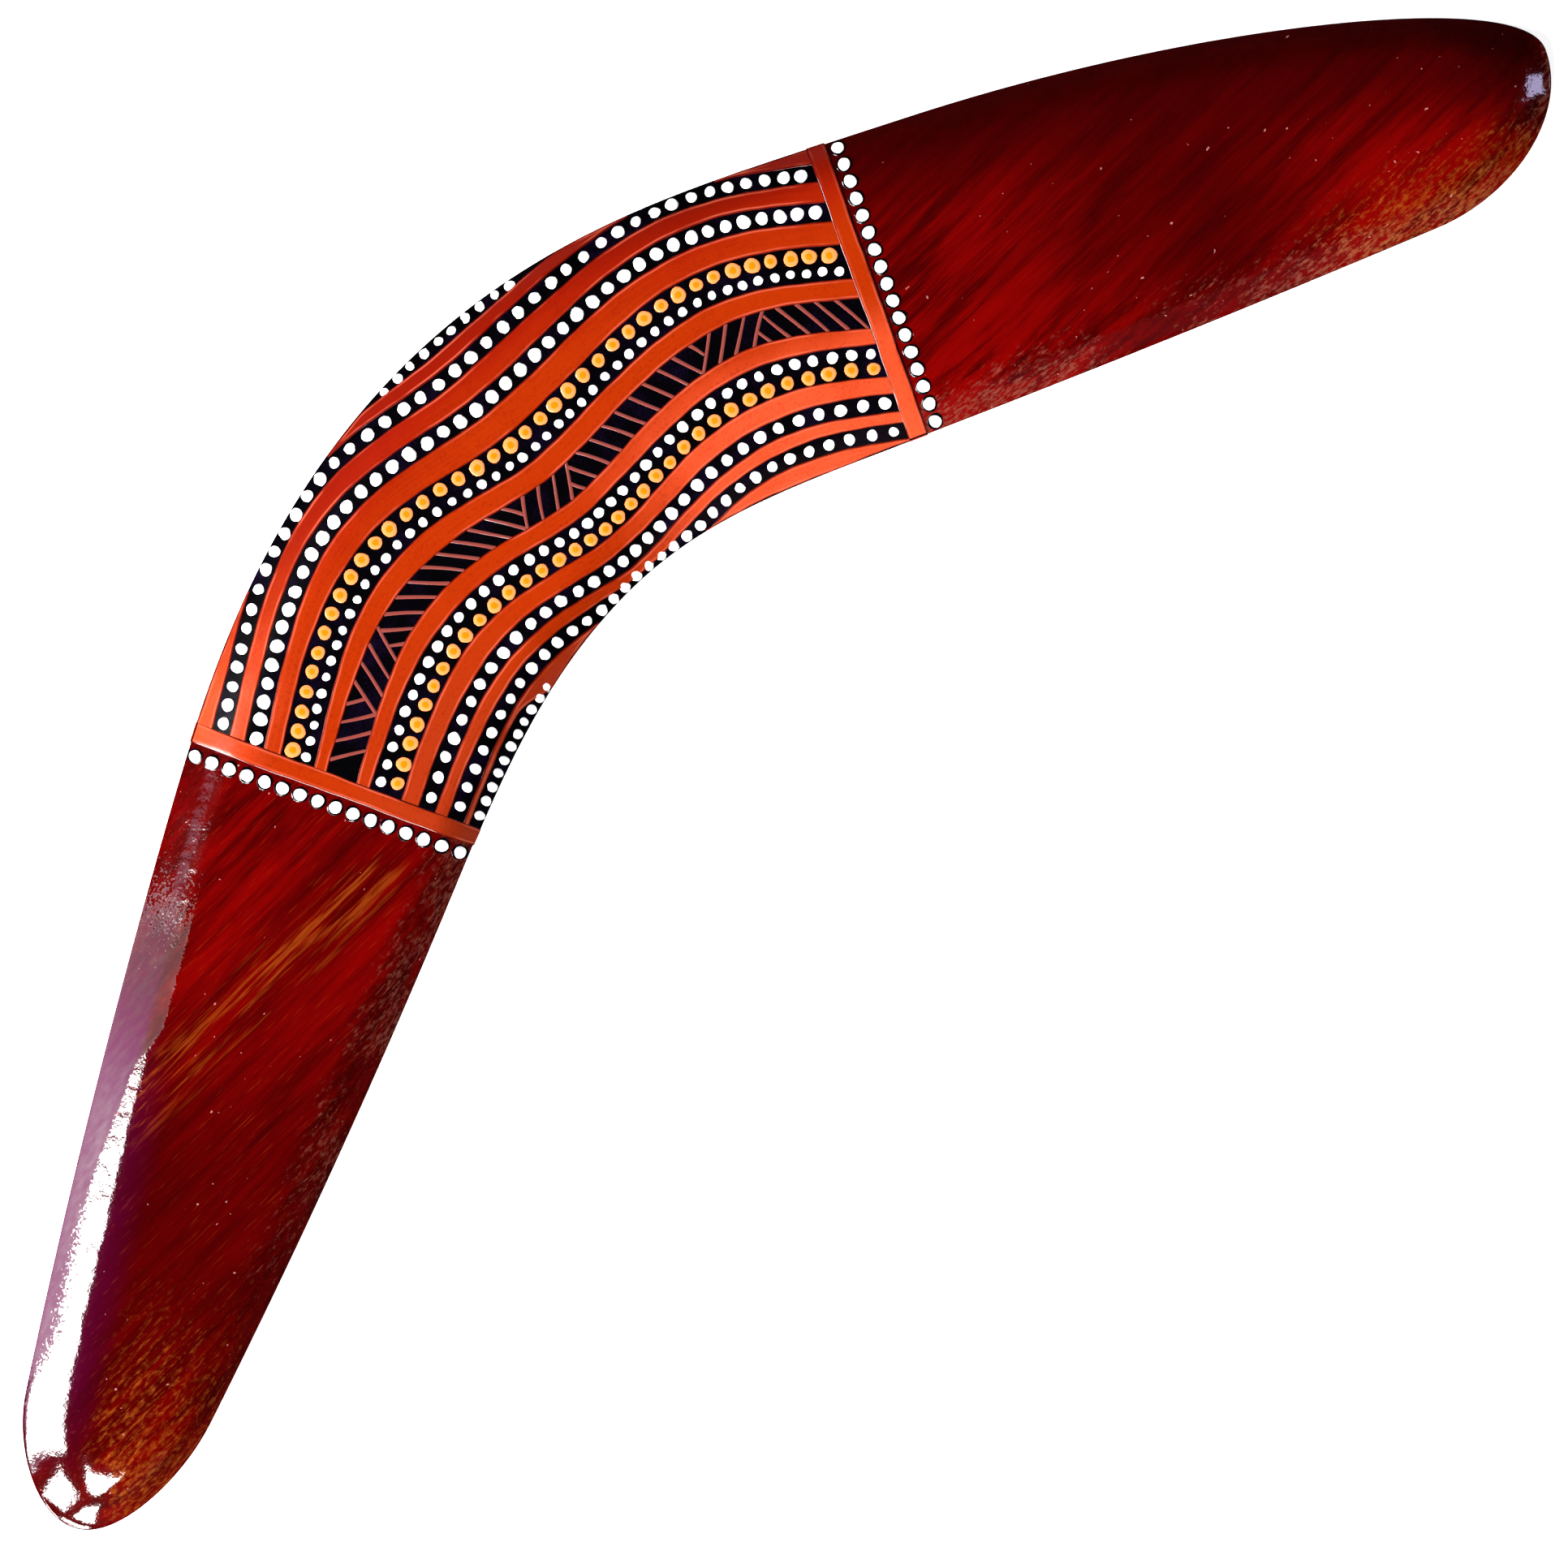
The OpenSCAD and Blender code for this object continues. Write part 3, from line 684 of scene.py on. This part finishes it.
def ochre_material(colours):
    finish = Finish("ochre_paint_under_varnish")
    at = finish.here()
    where, s, d, edge = finish.place()
    brush = finish.noise(where, (18, 40, 0.7), detail=3)
    cloud = finish.noise(at, (11, 11, 11), detail=3, shift=4)
    grit = finish.noise(at, (0.7, 0.5, 0.5), detail=2, rough=0.7, shift=8)
    # redder, darker ochre towards the outer edge: partly painted shade, with brush and cloud noise
    # for real tone
    redder_and_shaded = d.between(6, 30) * s.between(-54, -18) + (1 - brush - cloud) * 0.5
    now = finish.mix(redder_and_shaded.between(-0.1, 1), colours.ochre, colours.ochre_red)
    # the crook is browner on the left arm; the coral is a painted sheen, on the right one and by
    # the outer edge of the left shoulder
    brown = d.between(4, -22) * s.between(-15, -60)
    now = finish.mix(brown * 0.9, now, colours.ochre_brown)
    coral_sheen = (s.between(-10, 48) * d.between(2, -14)
             + s.between(-40, -62) * d.between(8, 22) * 0.6)
    now = finish.mix((coral_sheen * (cloud + 0.5)).between(0, 1.2), now, colours.coral_sheen)
    shade, thick = (0.09, 0.003, 0.0006), (0.11, 0.003, 0.0004)
    now = finish.mix(d.between(19, 30) * s.between(-66, -40) * 0.6, now, shade)
    now = finish.mix((grit * 0.65 + brush * 0.35).between(0.52, 0.30) * 0.4, now, thick)
    # a stripe is brushed thin inside its edge and runs into the black at it; the pale line inside
    # the edge is partly a painted highlight where the edge catches light
    into_black = (0.05, 0.001, 0.0006)
    pale = edge.between(0.72, 0.50) * edge.between(0.18, 0.40) * (cloud + brush).between(0.85, 1.15)
    now = finish.mix(pale * 0.6, now, colours.ochre_pale_and_highlight)
    now = finish.mix(edge.between(0.38, 0.08) * 0.9, now, into_black)
    return finish.surface(now, OCHRE_GLOSS, varnish_normal(finish, at, 0.7))


def paint_material(name, base, other, rim=None):
    """Plain paint with blots of another tone, and a rim of a third on a dot."""
    finish = Finish(name)
    at = finish.here()
    _, from_middle, _, _ = finish.place()
    blot = finish.noise(at, (8, 8, 8), detail=4, rough=0.65)
    fine = finish.noise(at, (0.45, 0.45, 0.45), detail=2, shift=6)
    now = finish.mix((blot * 0.6 + fine * 0.4).between(0.46, 0.72), base, other)
    if rim is not None:
        now = finish.mix(from_middle.between(*RIM_OF_DAB), now, rim)
    return finish.surface(now, PAINT_GLOSS, varnish_normal(finish, at, 0.5))


MATERIALS = {}


def material(slot):
    """The finish of a record slot, made the first time it is asked for."""
    colours = bpy.context.scene.boomerang_colours
    paints = {  # the name, the paint's tone, the tone of its blots and that of its rim
        # the black's blots are a painted reflection
        "black_paint": ("black_paint", colours.black, colours.black_reflection),
        "white_paint": ("white_paint", colours.white, (0.82, 0.82, 0.80)),
        "apricot_paint": ("apricot_paint", colours.apricot, (0.60, 0.170, 0.042)),
        "amber_paint": ("amber_paint", colours.amber, (0.62, 0.14, 0.002), colours.apricot),
        "stroke_paint": ("hatch_paint", colours.hatch, (0.16, 0.030, 0.022)),
    }
    if slot not in MATERIALS:
        if slot == "stained_wood":
            MATERIALS[slot] = wood_material(colours)
        elif slot == "ochre_paint":
            MATERIALS[slot] = ochre_material(colours)
        else:
            name, *tones = paints[slot]
            MATERIALS[slot] = paint_material(f"{name}_under_varnish", *tones)
    return MATERIALS[slot]


# ---- the pieces ----

def at_hand(context):
    """The blank and the sizes of its paint."""
    return Board(context.scene.boomerang_board), context.scene.boomerang_paint


def copy_of(piece):
    """A copy that has its own mesh."""
    copy = piece.copy()
    copy.data = piece.data.copy()
    bpy.context.scene.collection.objects.link(copy)
    return copy


class Section:
    """Rows round the blank's section, from the foot of the inner side to that of the outer."""

    def __init__(self, sizes, cells, closed):
        softened = np.array([0, 0.03, 0.12, 0.3, 0.6]) * sizes.rim_inset
        top = sizes.rim - sizes.rim_drop
        sides = [(0.0, sizes.lower_round), (0.0, (sizes.lower_round + top) / 2)]
        if closed:
            q = sizes.lower_round * (1 - np.sqrt(0.5))
            sides = [(sizes.lower_round, 0.0), (q, q)] + sides
        on_top = np.nan  # the crown gives the height
        rows = [(inset, z, 0.0) for inset, z in sides]
        rows += [(inset, on_top, 0.0) for inset in softened]
        rows += [(sizes.rim_inset, on_top, k / cells) for k in range(cells + 1)]
        rows += [(inset, on_top, 1.0) for inset in softened[::-1]]
        rows += [(inset, z, 1.0) for inset, z in sides[::-1]]
        if closed:
            rows += [(sizes.lower_round, 0.0, v) for v in (0.8, 0.6, 0.4, 0.2, 0.0)]
        self.inset, self.z, self.v = np.array(rows).T
        self.count = len(rows)

    def points(self, board, s_of_row, row):
        """Points at the s of each, on the given rows."""
        inset, v, z = self.inset[row], self.v[row], self.z[row]
        s = s_of_row(inset)
        inner, outer = board.half_widths(s, inset)
        d = -inner + v * (inner + outer)
        z = np.where(np.isnan(z), board.crown(s, d) - board.sanding(inset), z)
        return s, d, np.concatenate([board.flat(s, d), z[:, None]], 1)


class BOOMERANG_OT_wooden_blank(bpy.types.Operator):
    """Carve the blank: a grid wrapped round the whole board and closed"""

    bl_idname = "boomerang.wooden_blank"
    bl_label = "Wooden Blank"

    def execute(self, context):
        board, _ = at_hand(context)
        section = Section(board.size, 60, closed=True)
        stations = 460
        piece, column, row = new_grid("wooden_blank", stations, section.count - 1)
        t = column / stations * 2 - 1
        s, d, points = section.points(board, lambda inset: board.station(t, inset), row)
        set_points(piece, points)
        inner, outer = board.gaps(s, d)
        set_places(piece, s, inner, outer)
        close_up(piece)
        finish_piece(piece, "carved_blank", "stained_wood")
        return {"FINISHED"}


class BOOMERANG_OT_ground_coat(bpy.types.Operator):
    """Lay the black ground coat over the elbow and round both of its edges"""

    bl_idname = "boomerang.ground_coat"
    bl_label = "Black Ground Coat"

    def execute(self, context):
        board, paint = at_hand(context)
        section = Section(board.size, 72, closed=False)
        stations = 200
        piece, column, row = new_grid("painted_ground_coat", stations, section.count - 1)
        s_at = np.linspace(*cad_reach(board, "black_ground_coat"), stations + 1)
        s, d, points = section.points(board, lambda inset: s_at[column], row)
        set_points(piece, points)
        # raise the coat off the wood, square to it
        grid = np.zeros((section.count, stations + 1, 3))
        grid[row, column] = points
        normal = np.cross(np.gradient(grid, axis=1), np.gradient(grid, axis=0))
        normal /= np.linalg.norm(normal, axis=-1, keepdims=True)
        set_points(piece, points + paint.ground * normal[row, column])
        set_places(piece, s, d, np.zeros_like(s))
        give_body(piece, paint.ground + BED)
        finish_piece(piece, "black_ground_coat", "black_paint")
        return {"FINISHED"}


def lay_film(board, paint, name, spots, thickness, cells):
    """A film of paint on the ground coat, of so many cells along and across. spots(a, b)
    gives s, d and the distance to the edge, from the share a along the film and the row b
    across it."""
    rows = cells[1] + 8
    piece, column, row = new_grid(name, cells[0], rows)
    s, d, edge = spots(column / cells[0], row)
    height = paint.ground + film_height(edge, paint.lip, thickness)
    set_points(piece, board.lift(s, d, height))
    set_places(piece, s, d, edge)
    give_body(piece, thickness + STRIPE_BED)
    return piece


class BOOMERANG_OT_ochre_stripes(bpy.types.Operator):
    """Lay the wavy ochre stripes and the strips across the ends of the ground coat"""

    bl_idname = "boomerang.ochre_stripes"
    bl_label = "Ochre Stripes"

    def stripe(self, board, paint, name, sections, cells=8):
        s_at, low_at, high_at = sections
        count = max(12, int((s_at[-1] - s_at[0]) / (0.8 * MM)))

        def spots(a, row):
            s = s_at[0] + (s_at[-1] - s_at[0]) * a
            low = smooth_curve(s, s_at, low_at) + hand_wobble(s, paint.wobble)
            high = smooth_curve(s, s_at, high_at) + hand_wobble(s, paint.wobble)
            inner, outer = board.half_widths(s)
            low = np.maximum(low, -inner)
            high = np.minimum(np.maximum(high, low + 0.2 * MM), outer)
            width = high - low
            lip = np.minimum(paint.lip, width / 3)
            share_across = np.array([film_steps(w, edge, cells)[r]
                                     for w, edge, r in zip(width, lip, row)])
            d = low + width * share_across
            return s, d, np.minimum(d - low, high - d) * paint.lip / lip

        return lay_film(board, paint, name, spots, paint.stripe, (count, cells))

    def end_strip(self, board, paint, name, node, cells=5):
        first, last = cad_reach(board, node)

        def spots(a, row):
            mid = (first + last) / 2
            inner, outer = board.half_widths(mid)
            reach = -inner + (inner + outer) * a
            left = first + hand_wobble(reach, paint.wobble)
            right = last + hand_wobble(reach, paint.wobble)
            width = right - left
            share_across = film_steps(last - first, paint.lip, cells)[row]
            s = right - width * share_across
            inner, outer = board.half_widths(s)
            d = -inner + (inner + outer) * a
            return s, d, np.minimum(share_across, 1 - share_across) * width

        return lay_film(board, paint, name, spots, paint.stripe * 1.1, (90, cells))

    def execute(self, context):
        board, paint = at_hand(context)
        for number in range(1, 9):
            node = f"ochre_stripe_{number}"
            parts = [self.stripe(board, paint, f"stripe_part_{k}", sections)
                     for k, sections in enumerate(cad_stretches(board, node))]
            piece = join_all(parts, f"painted_{node}")
            finish_piece(piece, node, "ochre_paint")
        for side in ("left", "right"):
            node = f"ochre_{side}_end_strip"
            piece = self.end_strip(board, paint, f"painted_{node}", node)
            finish_piece(piece, node, "ochre_paint")
        return {"FINISHED"}


def new_dab():
    """One dab of paint, of radius 1 and height 1, to be copied."""
    deselect()
    bpy.ops.mesh.primitive_circle_add(vertices=14, radius=1.0, fill_type="NGON",
                                      location=(0, 0, -0.3))
    dab = bpy.context.object
    dab.name = "dab"
    bpy.ops.object.mode_set(mode="EDIT")
    bpy.ops.mesh.select_all(action="SELECT")
    for rise, shrink in ((0.62, 0.97), (0.33, 0.86), (0.22, 0.72)):
        bpy.ops.mesh.extrude_region_move(TRANSFORM_OT_translate={"value": (0, 0, rise)})
        bpy.ops.transform.resize(value=(shrink, shrink, 1.0))
    bpy.ops.mesh.poke(offset=0.12)
    bpy.ops.mesh.select_all(action="SELECT")
    bpy.ops.mesh.normals_make_consistent(inside=False)
    bpy.ops.object.mode_set(mode="OBJECT")
    bpy.ops.object.transform_apply(location=True, rotation=True, scale=True)
    return dab


def lay_dots(board, node, slot, dab, base, tall, grow=1.0, flat=1.0, foot=BED):
    """A piece of copies of the dab, one on every dot of a CAD node, each a little out of
    round and standing its foot deep in what is under it."""
    shape = get_points(dab)
    round_at = np.arctan2(shape[:, 1], shape[:, 0])
    copies = []
    for group in cad_islands(node):
        middle = (group[:, :2].min(0) + group[:, :2].max(0)) / 2
        radius = np.ptp(group[:, :2], axis=0).max() / 2 * grow
        outline = np.ones_like(round_at)
        for lobes, part in ((2, 1.0), (3, 0.6), (5, 0.35)):
            outline += RAGGED * part * np.sin(lobes * round_at + 2 * np.pi * RNG.random())
        flat_xy = shape[:, :2] * (radius * outline)[:, None] + middle
        s, d = board.find(flat_xy)
        height = base + np.minimum(shape[:, 2], flat) * tall * radius
        height[shape[:, 2] < 0] = base - foot
        copy = copy_of(dab)
        set_points(copy, board.lift(s, d, height))
        set_places(copy, np.hypot(shape[:, 0], shape[:, 1]), s, d)
        copies.append(copy)
    finish_piece(join_all(copies, f"painted_{node}"), node, slot)


class BOOMERANG_OT_white_dots(bpy.types.Operator):
    """Dab the rows of white dots along the lines"""

    bl_idname = "boomerang.white_dots"
    bl_label = "White Dots"

    def execute(self, context):
        board, paint = at_hand(context)
        dab = new_dab()
        for number in (1, 2, 3, 4, 6, 7, 8, 9):
            lay_dots(board, f"line_{number}_white_dots", "white_paint", dab,
                     paint.ground, paint.dome)
        bpy.data.objects.remove(dab)
        return {"FINISHED"}


class BOOMERANG_OT_orange_dots(bpy.types.Operator):
    """Dab the apricot dots and the amber middles on top of them"""

    bl_idname = "boomerang.orange_dots"
    bl_label = "Orange Dots"

    def execute(self, context):
        board, paint = at_hand(context)
        dab = new_dab()
        for number in (4, 6):
            lay_dots(board, f"line_{number}_apricot_dots", "apricot_paint", dab,
                     paint.ground, paint.dome * 0.6, flat=0.8)
            lay_dots(board, f"line_{number}_amber_centres", "amber_paint", dab,
                     paint.ground + AMBER_RISE, paint.dome * 0.35, grow=0.92, foot=AMBER_RISE)
        bpy.data.objects.remove(dab)
        return {"FINISHED"}


class BOOMERANG_OT_end_dots(bpy.types.Operator):
    """Dab the rows of dots across the arms: a black dot with a white one on it"""

    bl_idname = "boomerang.end_dots"
    bl_label = "End Dots"

    def execute(self, context):
        board, paint = at_hand(context)
        dab = new_dab()
        for side in ("left", "right"):
            lay_dots(board, f"{side}_end_black_dots", "black_paint", dab, 0.0,
                     UNDER_DOME, flat=0.7)
            lay_dots(board, f"{side}_end_white_dots", "white_paint", dab,
                     paint.under_dot, paint.dome)
        bpy.data.objects.remove(dab)
        return {"FINISHED"}


class BOOMERANG_OT_hatching(bpy.types.Operator):
    """Brush the hatch strokes across the middle line"""

    bl_idname = "boomerang.hatching"
    bl_label = "Hatching"

    def stroke_master(self, paint):
        """One stroke, 1 long and 1 wide, rounded across, to be copied."""
        stroke, column, row = new_grid("stroke", 10, 4)
        x, y = column / 10, row / 4 - 0.5
        z = paint.stroke * np.sqrt(np.maximum(0, 1 - (1.9 * y) ** 2))
        set_points(stroke, np.stack([x, y, z - 0.01 * MM], 1))
        give_body(stroke, 0.05 * MM)
        return stroke

    def strokes(self, paint, first, last):
        """The two ends of each stroke, as s and the share across the line."""
        gap, lean = paint.hatch_gap, paint.hatch_lean
        found = []
        for group in range(-2, 2):
            start = paint.hatch_start + group * paint.hatch_pitch
            for k in range(FULL_STROKES):
                found.append(((start + k * gap, 0.0), (start + k * gap + lean, 1.0)))
            # strokes that lean back fill in up to the next group, and stop on a full stroke
            left = start + (FULL_STROKES - 1) * gap
            right = start + paint.hatch_pitch
            for s in np.arange(left - lean + gap, right + lean, gap):
                high = min(1.0, (s + lean - left) / (2 * lean) - 0.03)
                low = max(0.0, (s + lean - right) / (2 * lean) + 0.03)
                if high - low > 0.15:
                    found.append(((s + lean * (1 - high), high), (s + lean * (1 - low), low)))
        return [pair for pair in found
                if min(pair[0][0], pair[1][0]) > first and max(pair[0][0], pair[1][0]) < last]

    def execute(self, context):
        board, paint = at_hand(context)
        above = cad_stretches(board, "ochre_stripe_4")[0]
        below = cad_stretches(board, "ochre_stripe_5")[0]
        master = self.stroke_master(paint)
        shape = get_points(master)
        copies = []
        for ends in self.strokes(paint, above[0][0], above[0][-1]):
            s_end = np.array([end[0] for end in ends]) + 0.25 * MM * (RNG.random(2) - 0.5)
            high = smooth_curve(s_end, above[0], above[1]) + 0.15 * MM
            low = smooth_curve(s_end, below[0], below[2]) - 0.15 * MM
            d_end = low + (high - low) * np.array([end[1] for end in ends])
            along = np.stack([s_end, d_end], 1)
            way = along[1] - along[0]
            way /= np.linalg.norm(way)
            bow = 0.14 * MM * (RNG.random() * 2 - 1)
            x, y = shape[:, 0], shape[:, 1]
            swell = 1.0 + 0.22 * (RNG.random() * 2 - 1) * (2 * x - 1) + 0.12 * RNG.random()
            off = y * paint.hatch_width * swell + bow * 4 * x * (1 - x)
            spot = along[0] + x[:, None] * (along[1] - along[0])
            s = spot[:, 0] - off * way[1]
            d = spot[:, 1] + off * way[0]
            copy = copy_of(master)
            set_points(copy, board.lift(s, d, paint.ground + shape[:, 2]))
            set_places(copy, x, y, d)
            copies.append(copy)
        bpy.data.objects.remove(master)
        node = "line_5_hatch_strokes"
        piece = join_all(copies, f"painted_{node}")
        finish_piece(piece, node, "stroke_paint")
        return {"FINISHED"}


LEFT_ARM, LEFT_TIP, RIGHT_TIP = (-0.181, -0.028), (-0.194, -0.048), (0.197, -0.055)
WHITE, LILAC = (1.0, 1.0, 1.0), (0.65, 0.62, 1.0)
LAMPS = (  # name, the spot it shines on, azimuth, tilt, size, radiance, colour, spin
    ("key_light", LEFT_ARM, 139.9, 60.2, (30.2, 42), 31, WHITE, -8),
    ("edge_sheen", LEFT_ARM, 140, 77, (34, 26), 2.4, (0.95, 0.72, 1.0), 0),
    ("shoulder_sheen", LEFT_ARM, 119.3, 53, (4, 12), 1.6, (0.85, 0.75, 1.0), 0),
    ("tip_glint_0", LEFT_TIP, 179, 67, (15, 26), 38, WHITE, 0),
    ("tip_glint_1", LEFT_TIP, 204, 38, (15, 16), 38, WHITE, 0),
    ("tip_glint_2", LEFT_TIP, 209, 67, (20, 16), 38, WHITE, 0),
    ("near_fill", (0.0, -0.03), 235, 66, (60, 30), 0.12, (1.0, 0.6, 0.7), 0),
    ("right_glint", RIGHT_TIP, -39, 63, (7, 8), 12, LILAC, 0),
)


class BOOMERANG_OT_stage(bpy.types.Operator):
    """Set the floor, the lights and the camera"""

    bl_idname = "boomerang.stage"
    bl_label = "Stage"

    def lamp(self, name, target, azimuth, tilt, size, radiance, colour, spin, strength):
        """A wide light. Its azimuth is from +X about Z, its tilt is off the upright, and its
        size is the angle that it takes up, all in degrees."""
        light = bpy.data.lights.new(name, "AREA")
        light.shape = "RECTANGLE"
        light.size, light.size_y = [2 * LAMP_DISTANCE * np.tan(np.radians(a) / 2) for a in size]
        light.energy = radiance * strength * np.pi * light.size * light.size_y
        light.color = colour
        lamp = bpy.data.objects.new(name, light)
        bpy.context.scene.collection.objects.link(lamp)
        a, t = np.radians(azimuth), np.radians(tilt)
        lamp.location = np.array([*target, 0.0]) + LAMP_DISTANCE * np.array(
            [np.sin(t) * np.cos(a), np.sin(t) * np.sin(a), np.cos(t)])
        turned = Matrix.Rotation(a + np.pi / 2, 3, "Z") @ Matrix.Rotation(t, 3, "X")
        lamp.rotation_euler = (turned @ Matrix.Rotation(np.radians(spin), 3, "Z")).to_euler()
        lamp.visible_camera = False

    def execute(self, context):
        stage = context.scene.boomerang_stage
        deselect()
        bpy.ops.mesh.primitive_plane_add(size=8.0, location=(0, 0, -0.0003))
        floor = context.object
        floor.name = "floor"
        finish = Finish("pale_floor")
        floor.data.materials.append(finish.surface(
            (0.92, 0.92, 0.92), 0.9, Emission_Color=(1, 1, 1, 1), Emission_Strength=0.9,
            Specular_IOR_Level=0.0))
        floor.visible_glossy = False
        world = bpy.data.worlds.new("studio")
        world.use_nodes = True
        world.node_tree.nodes["Background"].inputs["Color"].default_value = (1, 1, 1, 1)
        world.node_tree.nodes["Background"].inputs["Strength"].default_value = 0.008
        context.scene.world = world
        for lamp in LAMPS:
            self.lamp(*lamp, stage.key if lamp[0] == "key_light" else stage.fill)
        camera = bpy.data.cameras.new("camera")
        camera.sensor_width = 36.0
        camera.lens = camera.sensor_width * (stage.height - 0.005) / stage.frame_width
        camera.clip_end = 20.0
        view = bpy.data.objects.new("camera", camera)
        view.location = (stage.aim[0], stage.aim[1], stage.height)
        view.rotation_euler = (0.0, 0.0, stage.turn)
        context.scene.collection.objects.link(view)
        context.scene.camera = view
        context.scene.view_settings.view_transform = "Standard"
        return {"FINISHED"}


class BOOMERANG_PT_panel(bpy.types.Panel):
    """Lists the steps that build the boomerang"""

    bl_idname = "BOOMERANG_PT_panel"
    bl_label = "Painted Boomerang"
    bl_space_type = "VIEW_3D"
    bl_region_type = "UI"
    bl_category = "Boomerang"

    def draw(self, context):
        for step in STEPS:
            self.layout.operator(step.bl_idname)
        for group in GROUPS:
            box = self.layout.box()
            holder = getattr(context.scene, group)
            for key in holder.bl_rna.properties.keys():
                if key not in ("rna_type", "name"):
                    box.prop(holder, key)


GROUPS = {
    "boomerang_board": BoardSizes,
    "boomerang_paint": PaintSizes,
    "boomerang_colours": Colours,
    "boomerang_stage": StageSettings,
}
STEPS = (
    BOOMERANG_OT_wooden_blank,
    BOOMERANG_OT_ground_coat,
    BOOMERANG_OT_ochre_stripes,
    BOOMERANG_OT_white_dots,
    BOOMERANG_OT_orange_dots,
    BOOMERANG_OT_end_dots,
    BOOMERANG_OT_hatching,
    BOOMERANG_OT_stage,
)


def register():
    for name, group in GROUPS.items():
        bpy.utils.register_class(group)
        setattr(bpy.types.Scene, name, bpy.props.PointerProperty(type=group))
    for item in (*STEPS, BOOMERANG_PT_panel):
        bpy.utils.register_class(item)


def unregister():
    for item in reversed((*STEPS, BOOMERANG_PT_panel)):
        bpy.utils.unregister_class(item)
    for name, group in reversed(GROUPS.items()):
        delattr(bpy.types.Scene, name)
        bpy.utils.unregister_class(group)


def main():
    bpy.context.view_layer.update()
    register()
    for step in STEPS:
        group, name = step.bl_idname.split(".")
        getattr(getattr(bpy.ops, group), name)()


if __name__ == "__main__":
    main()
